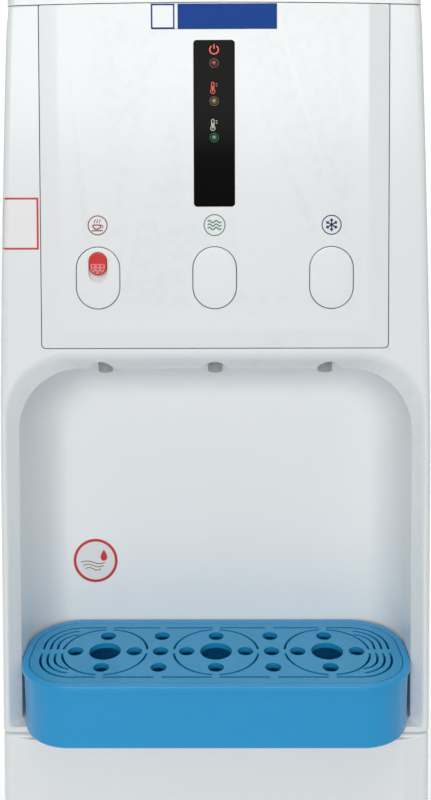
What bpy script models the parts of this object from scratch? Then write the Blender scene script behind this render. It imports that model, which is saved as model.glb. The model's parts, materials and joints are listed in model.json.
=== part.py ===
"""Floor-standing bottled-water dispenser with three push-button taps and a cooling cabinet.

Metres, +Z up.  The front faces -Y.  The origin is on the floor, at the middle of the whole box.
Places are given as (x, depth, z): x from the middle plane, depth back from the front face of
the control panel, and z above the floor.
"""

import math

import bmesh
import bpy
from mathutils import Matrix, Vector

# ---------------------------------------------------------------- driving dimensions
GAP = 0.0003

# whole cabinet
HALF_WIDTH = 0.1595
WAIST_Z = 0.630
SIDE_SLOPE = 0.0155
SIDE_CURVE = 0.034
BODY_DEPTH = 0.2995
COIL_STAND_OFF = 0.0075
COIL_RADIUS = 0.0024
TRAY_OVERHANG = 0.0265
TOP_EDGE_Z = 0.9595
TOP_ARCH = 0.0025
CORNER = 0.006
SHEET = 0.0012
SIDE_START = 0.0425
SIDE_TOP_Z = 0.957
SIDE_BOTTOM_Z = 0.042

# fascia and niche
FASCIA_DEPTH = 0.002
FASCIA_WALL = 0.0026
FASCIA_BACK = 0.042
FASCIA_BOTTOM_Z = 0.419
MOUTH_HALF = 0.155
MOUTH_TOP_Z = 0.7022
MOUTH_RADIUS = 0.046
CREASE_HALF = 0.1466
CREASE_TOP_Z = 0.6914
CREASE_RADIUS = 0.047
CREASE_DEPTH = 0.012
NICHE_FLOOR_Z = 0.4238
NICHE_BACK = 0.073
NICHE_WALL = 0.0024
NICHE_TOP_FILLET = 0.037
NICHE_SIDE_FILLET = 0.026

# control panel
BUTTON_Z = 0.760
BUTTON_PITCH = 0.085
PANEL_HALF = 0.1268
PANEL_BOTTOM_Z = 0.7081
PANEL_BACK = 0.005
PLATEAU_HALF = 0.1125
PLATEAU_BOTTOM_Z = 0.722
BUTTON_HALF_WIDTH = 0.0157
BUTTON_HALF_HEIGHT = 0.0225
BUTTON_BACK = 0.009
BUTTON_PROUD = 0.0006
DISPLAY_HALF = 0.015
DISPLAY_LOW_Z = 0.8118
DISPLAY_HIGH_Z = 0.9322
BADGE_HALF = 0.0453
BADGE_LOW_Z = 0.9402
BADGE_HIGH_Z = 0.958
LED_HEIGHTS = (0.9155, 0.8882, 0.8619)

# child-lock slider
LOCK_HALF_WIDTH = 0.0067
LOCK_HEIGHT = 0.0169
LOCK_TOP_Z = BUTTON_Z + 0.0188
LOCK_TRAVEL = 0.0045
LOCK_POCKET_DEPTH = 0.0026

# taps
NOZZLE_DEPTH = 0.042
NOZZLE_RADIUS = 0.0061
NOZZLE_BORE = 0.0035
NOZZLE_TIP_Z = 0.682
SLOT_RADIUS = 0.0108
SLOT_FRONT = 0.0178
BARREL_RADIUS = 0.010
BARREL_LOW_Z = 0.698
DECK_LOW_Z = 0.722
DECK_TOP_Z = 0.726
INLET_Z = 0.715
INLET_END = 0.056
LEVER_DEPTH = 0.028
LEVER_Z = 0.742
LEVER_FACE = 0.025
STEM_TOP_Z = 0.7402

# drip tray
TRAY_HALF = 0.1458
TRAY_FRONT = -TRAY_OVERHANG
TRAY_REAR = 0.0712
TRAY_CORNER = 0.040
TRAY_TOP_Z = 0.4706
TRAY_BOTTOM_Z = 0.4241
TRAY_MIDDLE = (TRAY_FRONT + TRAY_REAR) / 2
RIM_WIDTH = 0.0055
GRILLE_THICKNESS = 0.004
SLOT_WIDTH = 0.0018

# door and cooled cabinet
DOOR_LOW_Z = 0.045
DOOR_HIGH_Z = 0.4182
DOOR_HALF = 0.1592
DOOR_SHELL_BACK = 0.036
DOOR_WALL = 0.0026
HINGE_X = 0.1515
HINGE_DEPTH = 0.014
HINGE_PIN_RADIUS = 0.0025
LINER_FRONT = 0.0446
OPENING_HALF = 0.132
STEP_Z = 0.232
OPENING_LOW_Z = 0.062
OPENING_HIGH_Z = 0.398
UPPER_BACK = 0.215
LOWER_BACK = 0.150
LINER_WALL = 0.002

# tanks and cooling circuit
TANK_DEPTH = 0.160
COLD_TANK_RADIUS = 0.062
JACKET_RADIUS = 0.082
JACKET_BORE = 0.0700
HOT_TANK_X = -0.060
HOT_TANK_DEPTH = 0.165
HOT_TANK_RADIUS = 0.042
COMPRESSOR_X = 0.040
COMPRESSOR_DEPTH = 0.236
DRAIN_Z = 0.445
GLAND_X = -0.110
GLAND_Z = 0.090
SWITCH_Z = 0.918
SWITCH_XS = (0.084, 0.108)
SWITCH_PIVOT = 0.2985
SWITCH_TILT = math.radians(10)

TAPS = {"hot": -BUTTON_PITCH, "normal": 0.0, "cold": BUTTON_PITCH}

TOTAL_DEPTH = TRAY_OVERHANG + BODY_DEPTH + COIL_STAND_OFF + COIL_RADIUS
PANEL_Y = TRAY_OVERHANG - TOTAL_DEPTH / 2

FINISHES = {
    "white_shell": ((0.80, 0.82, 0.81), 0.18, 0.0),
    "white_paint": ((0.76, 0.78, 0.77), 0.35, 0.0),
    "blue_plastic": ((0.02, 0.31, 0.65), 0.25, 0.0),
    "red_plastic": ((0.66, 0.03, 0.02), 0.25, 0.0),
    "green_plastic": ((0.03, 0.35, 0.10), 0.30, 0.0),
    "black_gloss": ((0.01, 0.01, 0.01), 0.08, 0.0),
    "black_plastic": ((0.03, 0.03, 0.03), 0.45, 0.0),
    "badge_blue": ((0.02, 0.11, 0.42), 0.25, 0.0),
    "board_green": ((0.02, 0.18, 0.07), 0.50, 0.0),
    "clear_nozzle": ((0.62, 0.63, 0.61), 0.20, 0.0),
    "tap_plastic": ((0.55, 0.56, 0.55), 0.40, 0.0),
    "stainless": ((0.60, 0.60, 0.60), 0.30, 1.0),
    "spring_steel": ((0.45, 0.45, 0.46), 0.35, 1.0),
    "copper": ((0.70, 0.33, 0.20), 0.35, 1.0),
    "black_steel": ((0.02, 0.02, 0.02), 0.45, 0.3),
    "foam": ((0.82, 0.82, 0.78), 0.95, 0.0),
    "hose": ((0.75, 0.76, 0.74), 0.45, 0.0),
    "gasket": ((0.55, 0.56, 0.57), 0.70, 0.0),
    "rubber": ((0.03, 0.03, 0.03), 0.85, 0.0),
}


# ---------------------------------------------------------------- scene set-up
def clear_scene():
    for obj in list(bpy.data.objects):
        bpy.data.objects.remove(obj, do_unlink=True)
    for collection in list(bpy.data.collections):
        bpy.data.collections.remove(collection)


def new_collection(name):
    collection = bpy.data.collections.new(name)
    bpy.context.scene.collection.children.link(collection)
    return collection


clear_scene()
PARTS = new_collection("water_dispenser")
CUTTERS = new_collection("cutters")


def finish(name):
    material = bpy.data.materials.get(name)
    if material:
        return material
    colour, roughness, metallic = FINISHES[name]
    material = bpy.data.materials.new(name)
    material.use_nodes = True
    shader = material.node_tree.nodes["Principled BSDF"]
    shader.inputs["Base Color"].default_value = (*colour, 1.0)
    shader.inputs["Roughness"].default_value = roughness
    shader.inputs["Metallic"].default_value = metallic
    return material


def at(x, depth, z):
    return Vector((x, PANEL_Y + depth, z))


def half_width(z):
    rise = max(0.0, z - WAIST_Z)
    return HALF_WIDTH - SIDE_SLOPE * rise - SIDE_CURVE * rise**2


def top_edge(x):
    return TOP_EDGE_Z - TOP_ARCH * (x / HALF_WIDTH) ** 2


# ---------------------------------------------------------------- shapes
def add_object(name, bm, material, origin=None):
    """Put a bmesh in the scene as a part, with its origin at the given point."""
    start = origin if origin is not None else Vector()
    bmesh.ops.translate(bm, verts=bm.verts[:], vec=-start)
    mesh = bpy.data.meshes.new(name)
    bm.to_mesh(mesh)
    bm.free()
    mesh.shade_smooth()
    mesh.set_sharp_from_angle(angle=math.radians(35))
    obj = bpy.data.objects.new(name, mesh)
    obj.location = start
    mesh.materials.append(finish(material))
    PARTS.objects.link(obj)
    return obj


def closed(bm):
    bmesh.ops.recalc_face_normals(bm, faces=bm.faces[:])
    return bm


def facing_away(bm, inside):
    """Turn an open surface's faces away from a point behind it."""
    bmesh.ops.recalc_face_normals(bm, faces=bm.faces[:])
    lean = sum(f.normal.dot(f.calc_center_median() - inside) * f.calc_area() for f in bm.faces)
    if lean < 0:
        bmesh.ops.reverse_faces(bm, faces=bm.faces[:])
    return bm


def rounded_outline(u_low, u_high, v_low, v_high, r_low, r_high, steps=6, top_steps=1):
    """Rounded rectangle as (u, v) pairs: its own radius at the low and the high corners."""
    corners = (
        (u_high - r_low, v_low + r_low, r_low, -90),
        (u_high - r_high, v_high - r_high, r_high, 0),
        (u_low + r_high, v_high - r_high, r_high, 90),
        (u_low + r_low, v_low + r_low, r_low, 180),
    )
    points = []
    for index, (u, v, radius, start) in enumerate(corners):
        for step in range(steps + 1):
            angle = math.radians(start + 90 * step / steps)
            points.append((u + radius * math.cos(angle), v + radius * math.sin(angle)))
        if index == 1:
            first = points[-1][0]
            last = u_low + r_high
            points += [(first + (last - first) * k / top_steps, v_high) for k in range(1, top_steps)]
    return points


def loft(rings, cap_first=True, cap_last=True):
    """Skin a row of rings of equal length, and close its ends."""
    bm = bmesh.new()
    rows = [[bm.verts.new(point) for point in ring] for ring in rings]
    count = len(rows[0])
    for low, high in zip(rows, rows[1:]):
        for k in range(count):
            after = (k + 1) % count
            bm.faces.new((low[k], low[after], high[after], high[k]))
    if cap_first:
        bm.faces.new(rows[0])
    if cap_last:
        bm.faces.new(rows[-1])
    return closed(bm)


def facing_front(outline, depth):
    return [at(u, depth, v) for u, v in outline]


def lying_flat(outline, z):
    return [at(u, v, z) for u, v in outline]


def front_prism(outline, near, far):
    return loft([facing_front(outline, near), facing_front(outline, far)])


def flat_prism(outline, low, high):
    return loft([lying_flat(outline, low), lying_flat(outline, high)])


def side_prism(outline, low, high):
    """Prism along X of an outline given as (depth, z)."""
    return loft([[at(x, depth, z) for depth, z in outline] for x in (low, high)])


def box(x, depth, z):
    """Box between pairs of limits."""
    bm = bmesh.new()
    bmesh.ops.create_cube(bm, size=1.0)
    size = [high - low for low, high in (x, depth, z)]
    middle = at(*[(low + high) / 2 for low, high in (x, depth, z)])
    bmesh.ops.scale(bm, verts=bm.verts[:], vec=size)
    bmesh.ops.translate(bm, verts=bm.verts[:], vec=middle)
    return bm


TURN = {
    "x": Matrix.Rotation(math.radians(90), 4, "Y"),
    "y": Matrix.Rotation(math.radians(90), 4, "X"),
    "z": Matrix.Identity(4),
}


def rod(start, end, radius, axis, segments=16):
    """Cylinder between two points that lie along the named axis."""
    bm = bmesh.new()
    length = (end - start).length
    bmesh.ops.create_cone(
        bm, cap_ends=True, segments=segments, radius1=radius, radius2=radius, depth=length
    )
    bmesh.ops.transform(bm, matrix=TURN[axis], verts=bm.verts[:])
    bmesh.ops.translate(bm, verts=bm.verts[:], vec=(start + end) / 2)
    return bm


def stadium(x, z_low, z_high, half, steps=8):
    return rounded_outline(x - half, x + half, z_low, z_high, half, half, steps)


def turned(name, profile, centre, material, segments=24, loop=True):
    """Turn a profile of (radius, z) about a vertical axis.  It runs down its outer side."""
    mesh = bpy.data.meshes.new(name)
    points = [(radius, 0.0, z) for radius, z in profile]
    edges = [(k, k + 1) for k in range(len(points) - 1)]
    if loop:
        edges.append((len(points) - 1, 0))
    mesh.from_pydata(points, edges, [])
    obj = bpy.data.objects.new(name, mesh)
    obj.location = at(centre[0], centre[1], 0.0)
    mesh.materials.append(finish(material))
    PARTS.objects.link(obj)
    screw = obj.modifiers.new("turn", "SCREW")
    screw.steps = segments
    screw.render_steps = segments
    screw.use_merge_vertices = True
    screw.merge_threshold = 0.00001
    screw.use_smooth_shade = True
    return obj


def tube(name, points, radius, material, resolution=2):
    curve = bpy.data.curves.new(name, "CURVE")
    curve.dimensions = "3D"
    curve.bevel_depth = radius
    curve.bevel_resolution = resolution
    curve.use_fill_caps = True
    spline = curve.splines.new("POLY")
    spline.points.add(len(points) - 1)
    for target, point in zip(spline.points, points):
        target.co = (*point, 1.0)
    obj = bpy.data.objects.new(name, curve)
    curve.materials.append(finish(material))
    PARTS.objects.link(obj)
    return obj


def smooth_route(knots, steps):
    """Points along a smooth curve through the knots (Catmull-Rom)."""
    padded = [2 * knots[0] - knots[1], *knots, 2 * knots[-1] - knots[-2]]
    route = []
    for p0, p1, p2, p3 in zip(padded, padded[1:], padded[2:], padded[3:]):
        for step in range(steps):
            t = step / steps
            bend = (2 * p0 - 5 * p1 + 4 * p2 - p3) * t * t
            turn = (3 * p1 - p0 - 3 * p2 + p3) * t * t * t
            route.append((2 * p1 + (p2 - p0) * t + bend + turn) / 2)
    return route + [knots[-1]]


def operand(obj, name, bm, operation):
    mesh = bpy.data.meshes.new(name)
    bm.to_mesh(mesh)
    bm.free()
    tool = bpy.data.objects.new(name, mesh)
    tool.hide_render = True
    tool.display_type = "WIRE"
    CUTTERS.objects.link(tool)
    boolean = obj.modifiers.new(name, "BOOLEAN")
    boolean.operation = operation
    boolean.solver = "EXACT"
    boolean.object = tool
    return obj


def cut(obj, name, bm):
    return operand(obj, f"{obj.name}_{name}_cutter", bm, "DIFFERENCE")


def weld_on(obj, name, bm):
    return operand(obj, f"{obj.name}_{name}_piece", bm, "UNION")


def together(pieces):
    """Several separate closed shapes in one bmesh, for one cutter."""
    merged = bmesh.new()
    for piece in pieces:
        mesh = bpy.data.meshes.new("pattern")
        piece.to_mesh(mesh)
        piece.free()
        merged.from_mesh(mesh)
        bpy.data.meshes.remove(mesh)
    return merged


def solidify(obj, thickness):
    wall = obj.modifiers.new("wall", "SOLIDIFY")
    wall.thickness = thickness
    wall.offset = -1.0
    return obj


def soften(obj, width, segments=2, angle=40):
    bevel = obj.modifiers.new("soft_edges", "BEVEL")
    bevel.width = width
    bevel.segments = segments
    bevel.limit_method = "ANGLE"
    bevel.angle_limit = math.radians(angle)
    return obj


# ---------------------------------------------------------------- casing
def strip_surface(path_at, levels):
    """Open surface of a plan path that changes with height; path_at(z) gives (x, depth)."""
    bm = bmesh.new()
    rows = []
    for level in levels:
        row = []
        for x, depth in path_at(level):
            top = min(level, top_edge(x)) if level > SIDE_TOP_Z - TOP_ARCH else level
            row.append(bm.verts.new(at(x, depth, top)))
        rows.append(row)
    for low, high in zip(rows, rows[1:]):
        for k in range(len(low) - 1):
            bm.faces.new((low[k], low[k + 1], high[k + 1], high[k]))
    return bm


def fascia_path(z):
    """Plan of the fascia at a height: side, rounded corner, front, corner, side."""
    half = half_width(z)
    right = [(half, FASCIA_BACK)]
    for step in range(5):
        angle = math.radians(90 * step / 4)
        across = half - CORNER + CORNER * math.cos(angle)
        right.append((across, FASCIA_DEPTH + CORNER - CORNER * math.sin(angle)))
    right += [(half * share, FASCIA_DEPTH) for share in (0.6, 0.3)]
    left = [(-x, depth) for x, depth in right]
    return [*left, (0.0, FASCIA_DEPTH), *reversed(right)]


def mouth_ring(depth, half, top, radius, grow=0.0, steps=6):
    outline = rounded_outline(
        -half - grow, half + grow, NICHE_FLOOR_Z - grow, top + grow, 0.003, radius, steps
    )
    return facing_front(outline, depth)


def nozzle_slots(low, high):
    """Openings in the niche's ceiling that the nozzles hang in."""
    rear = NOZZLE_DEPTH + SLOT_RADIUS
    slots = []
    for x in TAPS.values():
        outline = stadium(x, SLOT_FRONT - SLOT_RADIUS, rear, SLOT_RADIUS, 6)
        slots.append(flat_prism(outline, low, high))
    return together(slots)


def build_front_fascia():
    levels = [FASCIA_BOTTOM_Z, WAIST_Z, 0.700, 0.770, 0.840, 0.900, TOP_EDGE_Z]
    skin = facing_away(strip_surface(fascia_path, levels), at(0, 0.15, 0.7))
    fascia = solidify(add_object("front_fascia", skin, "white_shell"), FASCIA_WALL)
    flare = loft(
        [
            mouth_ring(0.003, 0.1534, MOUTH_TOP_Z - 0.0002, MOUTH_RADIUS, FASCIA_WALL),
            mouth_ring(CREASE_DEPTH, CREASE_HALF, CREASE_TOP_Z, CREASE_RADIUS, FASCIA_WALL),
        ]
    )
    weld_on(fascia, "flare", flare)
    mouth = loft(
        [
            mouth_ring(-0.006, MOUTH_HALF, MOUTH_TOP_Z, MOUTH_RADIUS),
            mouth_ring(FASCIA_DEPTH + 0.0001, MOUTH_HALF, MOUTH_TOP_Z, MOUTH_RADIUS),
            mouth_ring(CREASE_DEPTH + 0.0002, CREASE_HALF, CREASE_TOP_Z, CREASE_RADIUS),
        ]
    )
    cut(fascia, "mouth", mouth)
    side = PANEL_HALF + GAP
    seat = rounded_outline(-side, side, PANEL_BOTTOM_Z - GAP, 0.980, 0.0033, 0.0033, 4)
    cut(fascia, "panel_seat", front_prism(seat, -0.006, 0.015))
    cut(fascia, "slots", nozzle_slots(0.680, 0.7012))


def build_niche_liner():
    rings = [mouth_ring(CREASE_DEPTH + GAP, CREASE_HALF, CREASE_TOP_Z, CREASE_RADIUS)]
    steps = 4
    start = NICHE_BACK - NICHE_TOP_FILLET
    for step in range(steps + 1):
        angle = math.radians(90 * step / steps)
        inward = 1 - math.cos(angle)
        rings.append(
            mouth_ring(
                start + NICHE_TOP_FILLET * math.sin(angle),
                CREASE_HALF - NICHE_SIDE_FILLET * inward,
                CREASE_TOP_Z - 0.001 - NICHE_TOP_FILLET * inward,
                CREASE_RADIUS - 0.015 * inward,
            )
        )
    pocket = loft(rings, cap_first=False)
    pocket = facing_away(pocket, at(0, 0.5, 0.56))
    lean = sum(f.normal.y * f.calc_area() for f in pocket.faces)
    if lean > 0:
        bmesh.ops.reverse_faces(pocket, faces=pocket.faces[:])
    liner = solidify(add_object("niche_liner", pocket, "white_shell"), NICHE_WALL)
    cut(liner, "slots", nozzle_slots(0.680, 0.7012))


def build_side_panel(name, side):
    def path(z):
        half = half_width(z)
        inner = half - 0.009
        points = [(inner, SIDE_START), (half, SIDE_START), (half, 0.298), (inner, 0.298)]
        return [(side * x, depth) for x, depth in points]

    levels = [SIDE_BOTTOM_Z, WAIST_Z, 0.700, 0.770, 0.840, 0.900, SIDE_TOP_Z]
    skin = facing_away(strip_surface(path, levels), at(0, 0.17, 0.5))
    solidify(add_object(name, skin, "white_paint"), SHEET)


def louvres(rows, low, pitch, half_length):
    slots = []
    for row in range(rows):
        z = low + row * pitch
        slots.append(box((-half_length, half_length), (0.290, 0.310), (z, z + 0.004)))
    return slots


def build_rear_panel():
    heights = [SIDE_BOTTOM_Z, WAIST_Z, 0.700, 0.770, 0.840, 0.900, SIDE_TOP_Z]
    right = [(half_width(z) - 0.0002, z) for z in heights]
    left = [(-x, z) for x, z in reversed(right)]
    plate = front_prism([*right, *left], 0.2983, BODY_DEPTH)
    panel = add_object("rear_panel", plate, "white_paint")
    holes = louvres(6, 0.130, 0.014, 0.070)
    holes.append(rod(at(HOT_TANK_X, 0.290, DRAIN_Z), at(HOT_TANK_X, 0.310, DRAIN_Z), 0.0085, "y"))
    holes.append(rod(at(GLAND_X, 0.290, GLAND_Z), at(GLAND_X, 0.310, GLAND_Z), 0.0105, "y"))
    holes.append(rod(at(-0.125, 0.290, 0.240), at(-0.125, 0.310, 0.240), 0.004, "y"))
    holes.append(rod(at(0.125, 0.290, 0.240), at(0.125, 0.310, 0.240), 0.004, "y"))
    holes.append(box((0.0717, 0.1203), (0.290, 0.310), (SWITCH_Z - 0.0143, SWITCH_Z + 0.0143)))
    cut(panel, "openings", together(holes))


def build_base():
    outer = rounded_outline(-0.1585, 0.1585, 0.006, 0.297, 0.008, 0.004, 3)
    plinth = add_object("base_plinth", flat_prism(outer, 0.026, 0.041), "white_shell")
    inner = rounded_outline(-0.1559, 0.1559, 0.0086, 0.2944, 0.0055, 0.0025, 3)
    cut(plinth, "tray", flat_prism(inner, 0.0286, 0.050))
    profile = [(0.0, 0.0257), (0.013, 0.0257), (0.015, 0.006), (0.018, 0.004), (0.018, 0.0), (0.0, 0.0)]
    corners = {"front_left": (-0.125, 0.050), "front_right": (0.125, 0.050)}
    corners |= {"rear_left": (-0.125, 0.270), "rear_right": (0.125, 0.270)}
    for corner, place in corners.items():
        turned(f"foot_{corner}", profile, place, "rubber", 16, loop=False)


def cover_ring(z, inset, shrink=0.0):
    """Plan of the top cover at a height, pulled in from the cabinet's outline."""
    half = half_width(SIDE_TOP_Z) - inset - shrink
    front = FASCIA_DEPTH + inset + shrink
    rear = BODY_DEPTH - inset - shrink
    corner = CORNER + 0.6 * inset
    return lying_flat(rounded_outline(-half, half, front, rear, corner, corner, 4), z)


def build_top_cover():
    wall, below = 0.0028, 0.950
    steps = ((below, 0.0), (0.9690, 0.0006), (0.9790, 0.0045), (0.9843, 0.0140))
    cover = add_object("top_cover", loft([cover_ring(*step) for step in steps]), "white_shell")
    inner = [cover_ring(z - wall, inset, wall) for z, inset in steps]
    cut(cover, "hollow", loft(inner))
    reach, columns = 0.170, 12
    xs = [reach - 2 * reach * k / columns for k in range(columns + 1)]
    arch = [(-reach, below - 0.010), (reach, below - 0.010), *[(x, top_edge(x) + 0.0004) for x in xs]]
    cut(cover, "arch", front_prism(arch, -0.010, BODY_DEPTH + 0.010))
    cut(cover, "bottle_hole", rod(at(0, TANK_DEPTH, 0.97), at(0, TANK_DEPTH, 1.0), 0.0704, "z", 32))


# ---------------------------------------------------------------- control panel
def arched(outline, low, high):
    """Lift the top of an outline to the cabinet's arched top edge."""
    bent = []
    for x, z in outline:
        share = (z - low) / (high - low)
        bent.append((x, z + (top_edge(x) - 0.0002 - high) * share))
    return bent


def build_control_panel():
    high = TOP_EDGE_Z
    rim = rounded_outline(-PANEL_HALF, PANEL_HALF, PANEL_BOTTOM_Z, high, 0.003, 0.001, 4, 6)
    raised = rounded_outline(-PLATEAU_HALF, PLATEAU_HALF, PLATEAU_BOTTOM_Z, high, 0.002, 0.001, 4, 6)
    rim = arched(rim, PANEL_BOTTOM_Z, high)
    raised = arched(raised, PLATEAU_BOTTOM_Z, high)
    body = loft(
        [
            facing_front(rim, PANEL_BACK),
            facing_front(rim, FASCIA_DEPTH),
            facing_front(raised, 0.0),
        ]
    )
    panel = add_object("control_panel", body, "white_shell")
    holes = []
    for x in TAPS.values():
        low = BUTTON_Z - BUTTON_HALF_HEIGHT - GAP
        high = BUTTON_Z + BUTTON_HALF_HEIGHT + GAP
        outline = stadium(x, low, high, BUTTON_HALF_WIDTH + GAP)
        holes.append(front_prism(outline, -0.005, 0.010))
    window = rounded_outline(
        -DISPLAY_HALF, DISPLAY_HALF, DISPLAY_LOW_Z, DISPLAY_HIGH_Z, 0.0026, 0.0026, 4
    )
    holes.append(front_prism(window, -0.005, 0.010))
    side = BADGE_HALF + GAP
    holes.append(box((-side, side), (-0.005, 0.0009), (BADGE_LOW_Z - GAP, BADGE_HIGH_Z + GAP)))
    cut(panel, "openings", together(holes))


def build_display():
    window = rounded_outline(
        -DISPLAY_HALF + GAP,
        DISPLAY_HALF - GAP,
        DISPLAY_LOW_Z + GAP,
        DISPLAY_HIGH_Z - GAP,
        0.0023,
        0.0023,
        4,
    )
    add_object("display_window", front_prism(window, -0.00015, 0.0022), "black_gloss")
    badge = box((-BADGE_HALF, BADGE_HALF), (-0.0004, 0.0006), (BADGE_LOW_Z, BADGE_HIGH_Z))
    add_object("badge_plate", badge, "badge_blue")
    board = box((-0.013, 0.013), (0.009, 0.0106), (0.815, 0.929))
    board = add_object("indicator_board", board, "board_green")
    lamps = [rod(at(0, 0.0029, z), at(0, 0.0092, z), 0.0022, "y", 12) for z in LED_HEIGHTS]
    weld_on(board, "lamps", together(lamps))


def build_button(name, x):
    low = BUTTON_Z - BUTTON_HALF_HEIGHT
    high = BUTTON_Z + BUTTON_HALF_HEIGHT
    edge = 0.0008
    full = stadium(x, low, high, BUTTON_HALF_WIDTH)
    face = stadium(x, low + edge, high - edge, BUTTON_HALF_WIDTH - edge)
    rings = [
        facing_front(face, -BUTTON_PROUD),
        facing_front(full, edge - BUTTON_PROUD),
        facing_front(full, BUTTON_BACK),
    ]
    button = add_object(f"{name}_button", loft(rings), "white_shell", at(x, 0, BUTTON_Z))
    post = rod(at(x, BUTTON_BACK - 0.001, BUTTON_Z), at(x, 0.020, BUTTON_Z), 0.005, "y")
    weld_on(button, "post", post)
    nib = rod(at(x, 0.019, BUTTON_Z), at(x, LEVER_FACE - GAP, BUTTON_Z), 0.002, "y", 10)
    weld_on(button, "nib", nib)
    return button


def build_child_lock(button, x):
    low = LOCK_TOP_Z - LOCK_HEIGHT
    pocket = stadium(x, low - LOCK_TRAVEL - 0.0005, LOCK_TOP_Z + GAP, LOCK_HALF_WIDTH + 0.0002)
    cut(button, "lock_slot", front_prism(pocket, -0.005, LOCK_POCKET_DEPTH))
    slider = stadium(x, low, LOCK_TOP_Z, LOCK_HALF_WIDTH)
    body = front_prism(slider, -BUTTON_PROUD - 0.001, LOCK_POCKET_DEPTH - GAP)
    soften(add_object("child_lock", body, "red_plastic", at(x, 0, LOCK_TOP_Z)), 0.0006)


# ---------------------------------------------------------------- taps
def build_tap(name, x):
    barrel = rod(at(x, NOZZLE_DEPTH, BARREL_LOW_Z), at(x, NOZZLE_DEPTH, 0.7225), BARREL_RADIUS, "z")
    tap = add_object(f"{name}_tap_body", barrel, "tap_plastic")
    weld_on(tap, "deck", box((x - 0.0095, x + 0.0095), (0.020, 0.052), (DECK_LOW_Z, DECK_TOP_Z)))
    for side in (-1, 1):
        near, far = sorted((x + side * 0.0066, x + side * 0.0095))
        weld_on(tap, f"ear_{side + 1}", box((near, far), (0.0222, 0.0338), (0.7252, 0.7475)))
    port = rod(at(x, NOZZLE_DEPTH + 0.006, INLET_Z), at(x, INLET_END, INLET_Z), 0.0045, "y", 12)
    weld_on(tap, "inlet", port)
    low = BARREL_LOW_Z
    bores = [
        ("pin_bore", at(x - 0.02, LEVER_DEPTH, LEVER_Z), at(x + 0.02, LEVER_DEPTH, LEVER_Z), 0.0023, "x"),
        ("upper_chamber", at(x, NOZZLE_DEPTH, 0.711), at(x, NOZZLE_DEPTH, 0.720), 0.0068, "z"),
        ("lower_chamber", at(x, NOZZLE_DEPTH, 0.701), at(x, NOZZLE_DEPTH, 0.7093), 0.0068, "z"),
        ("stem_bore", at(x, NOZZLE_DEPTH, low - 0.002), at(x, NOZZLE_DEPTH, 0.730), 0.0028, "z"),
        ("seat_bore", at(x, NOZZLE_DEPTH, 0.705), at(x, NOZZLE_DEPTH, 0.714), 0.0035, "z"),
        ("inlet_bore", at(x, NOZZLE_DEPTH + 0.004, INLET_Z), at(x, 0.064, INLET_Z), 0.0026, "y"),
    ]
    for label, start, end, radius, axis in bores:
        cut(tap, label, rod(start, end, radius, axis, 12))
    nozzle_profile = [
        (NOZZLE_BORE, BARREL_LOW_Z - GAP),
        (NOZZLE_RADIUS, BARREL_LOW_Z - GAP),
        (NOZZLE_RADIUS, NOZZLE_TIP_Z + 0.002),
        (NOZZLE_RADIUS - 0.001, NOZZLE_TIP_Z),
        (NOZZLE_BORE, NOZZLE_TIP_Z),
    ]
    turned(f"{name}_nozzle", nozzle_profile, (x, NOZZLE_DEPTH), "clear_nozzle", 20)


def build_lever(name, x):
    pivot = at(x, LEVER_DEPTH, LEVER_Z)
    hub = rod(pivot - Vector((0.006, 0, 0)), pivot + Vector((0.006, 0, 0)), 0.004, "x", 12)
    lever = add_object(f"{name}_tap_lever", hub, "black_plastic", pivot)
    trunnion = rod(pivot - Vector((0.0093, 0, 0)), pivot + Vector((0.0093, 0, 0)), 0.002, "x", 10)
    weld_on(lever, "trunnion", trunnion)
    weld_on(lever, "upright", box((x - 0.005, x + 0.005), (LEVER_FACE, LEVER_DEPTH), (LEVER_Z, 0.766)))
    weld_on(lever, "foot", box((x - 0.004, x + 0.004), (LEVER_DEPTH, 0.0435), (0.7405, 0.7435)))


def build_stem(name, x):
    profile = [
        (0.0, STEM_TOP_Z),
        (0.0015, STEM_TOP_Z),
        (0.0015, STEM_TOP_Z - 0.001),
        (0.006, STEM_TOP_Z - 0.001),
        (0.006, STEM_TOP_Z - 0.002),
        (0.002, STEM_TOP_Z - 0.002),
        (0.002, 0.709),
        (0.005, 0.709),
        (0.005, 0.7065),
        (0.0, 0.7065),
    ]
    turned(f"{name}_valve_stem", profile, (x, NOZZLE_DEPTH), "stainless", 12, loop=False)
    low = DECK_TOP_Z + GAP + 0.0005
    high = STEM_TOP_Z - 0.002 - GAP - 0.0005
    turns, per_turn, radius = 4, 8, 0.0042
    count = turns * per_turn
    points = []
    for step in range(count + 1):
        angle = 2 * math.pi * step / per_turn
        z = low + (high - low) * step / count
        points.append(at(x + radius * math.cos(angle), NOZZLE_DEPTH + radius * math.sin(angle), z))
    tube(f"{name}_return_spring", points, 0.00045, "spring_steel", 1)


# ---------------------------------------------------------------- drip tray
def tray_outline(inset, steps=6):
    """Plan of the drip tray, pulled in by an inset."""
    corner = TRAY_CORNER - inset
    half = TRAY_HALF - inset
    return rounded_outline(-half, half, TRAY_FRONT + inset, TRAY_REAR - inset, corner, corner, steps)


def build_drip_tub():
    levels = ((TRAY_BOTTOM_Z, 0.0040), (0.4255, 0.0030), (0.4660, 0.0015), (0.4664, 0.0), (TRAY_TOP_Z, 0.0))
    rings = [lying_flat(tray_outline(inset), z) for z, inset in levels]
    tub = add_object("drip_tub", loft(rings), "blue_plastic", at(0, TRAY_MIDDLE, TRAY_BOTTOM_Z))
    seat = TRAY_TOP_Z - GRILLE_THICKNESS - GAP
    cut(tub, "grille_seat", flat_prism(tray_outline(RIM_WIDTH - GAP), seat, TRAY_TOP_Z + 0.005))
    hollow = loft(
        [
            lying_flat(tray_outline(0.0075), TRAY_BOTTOM_Z + 0.0024),
            lying_flat(tray_outline(0.0070), seat + 0.001),
        ]
    )
    cut(tub, "hollow", hollow)


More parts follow.
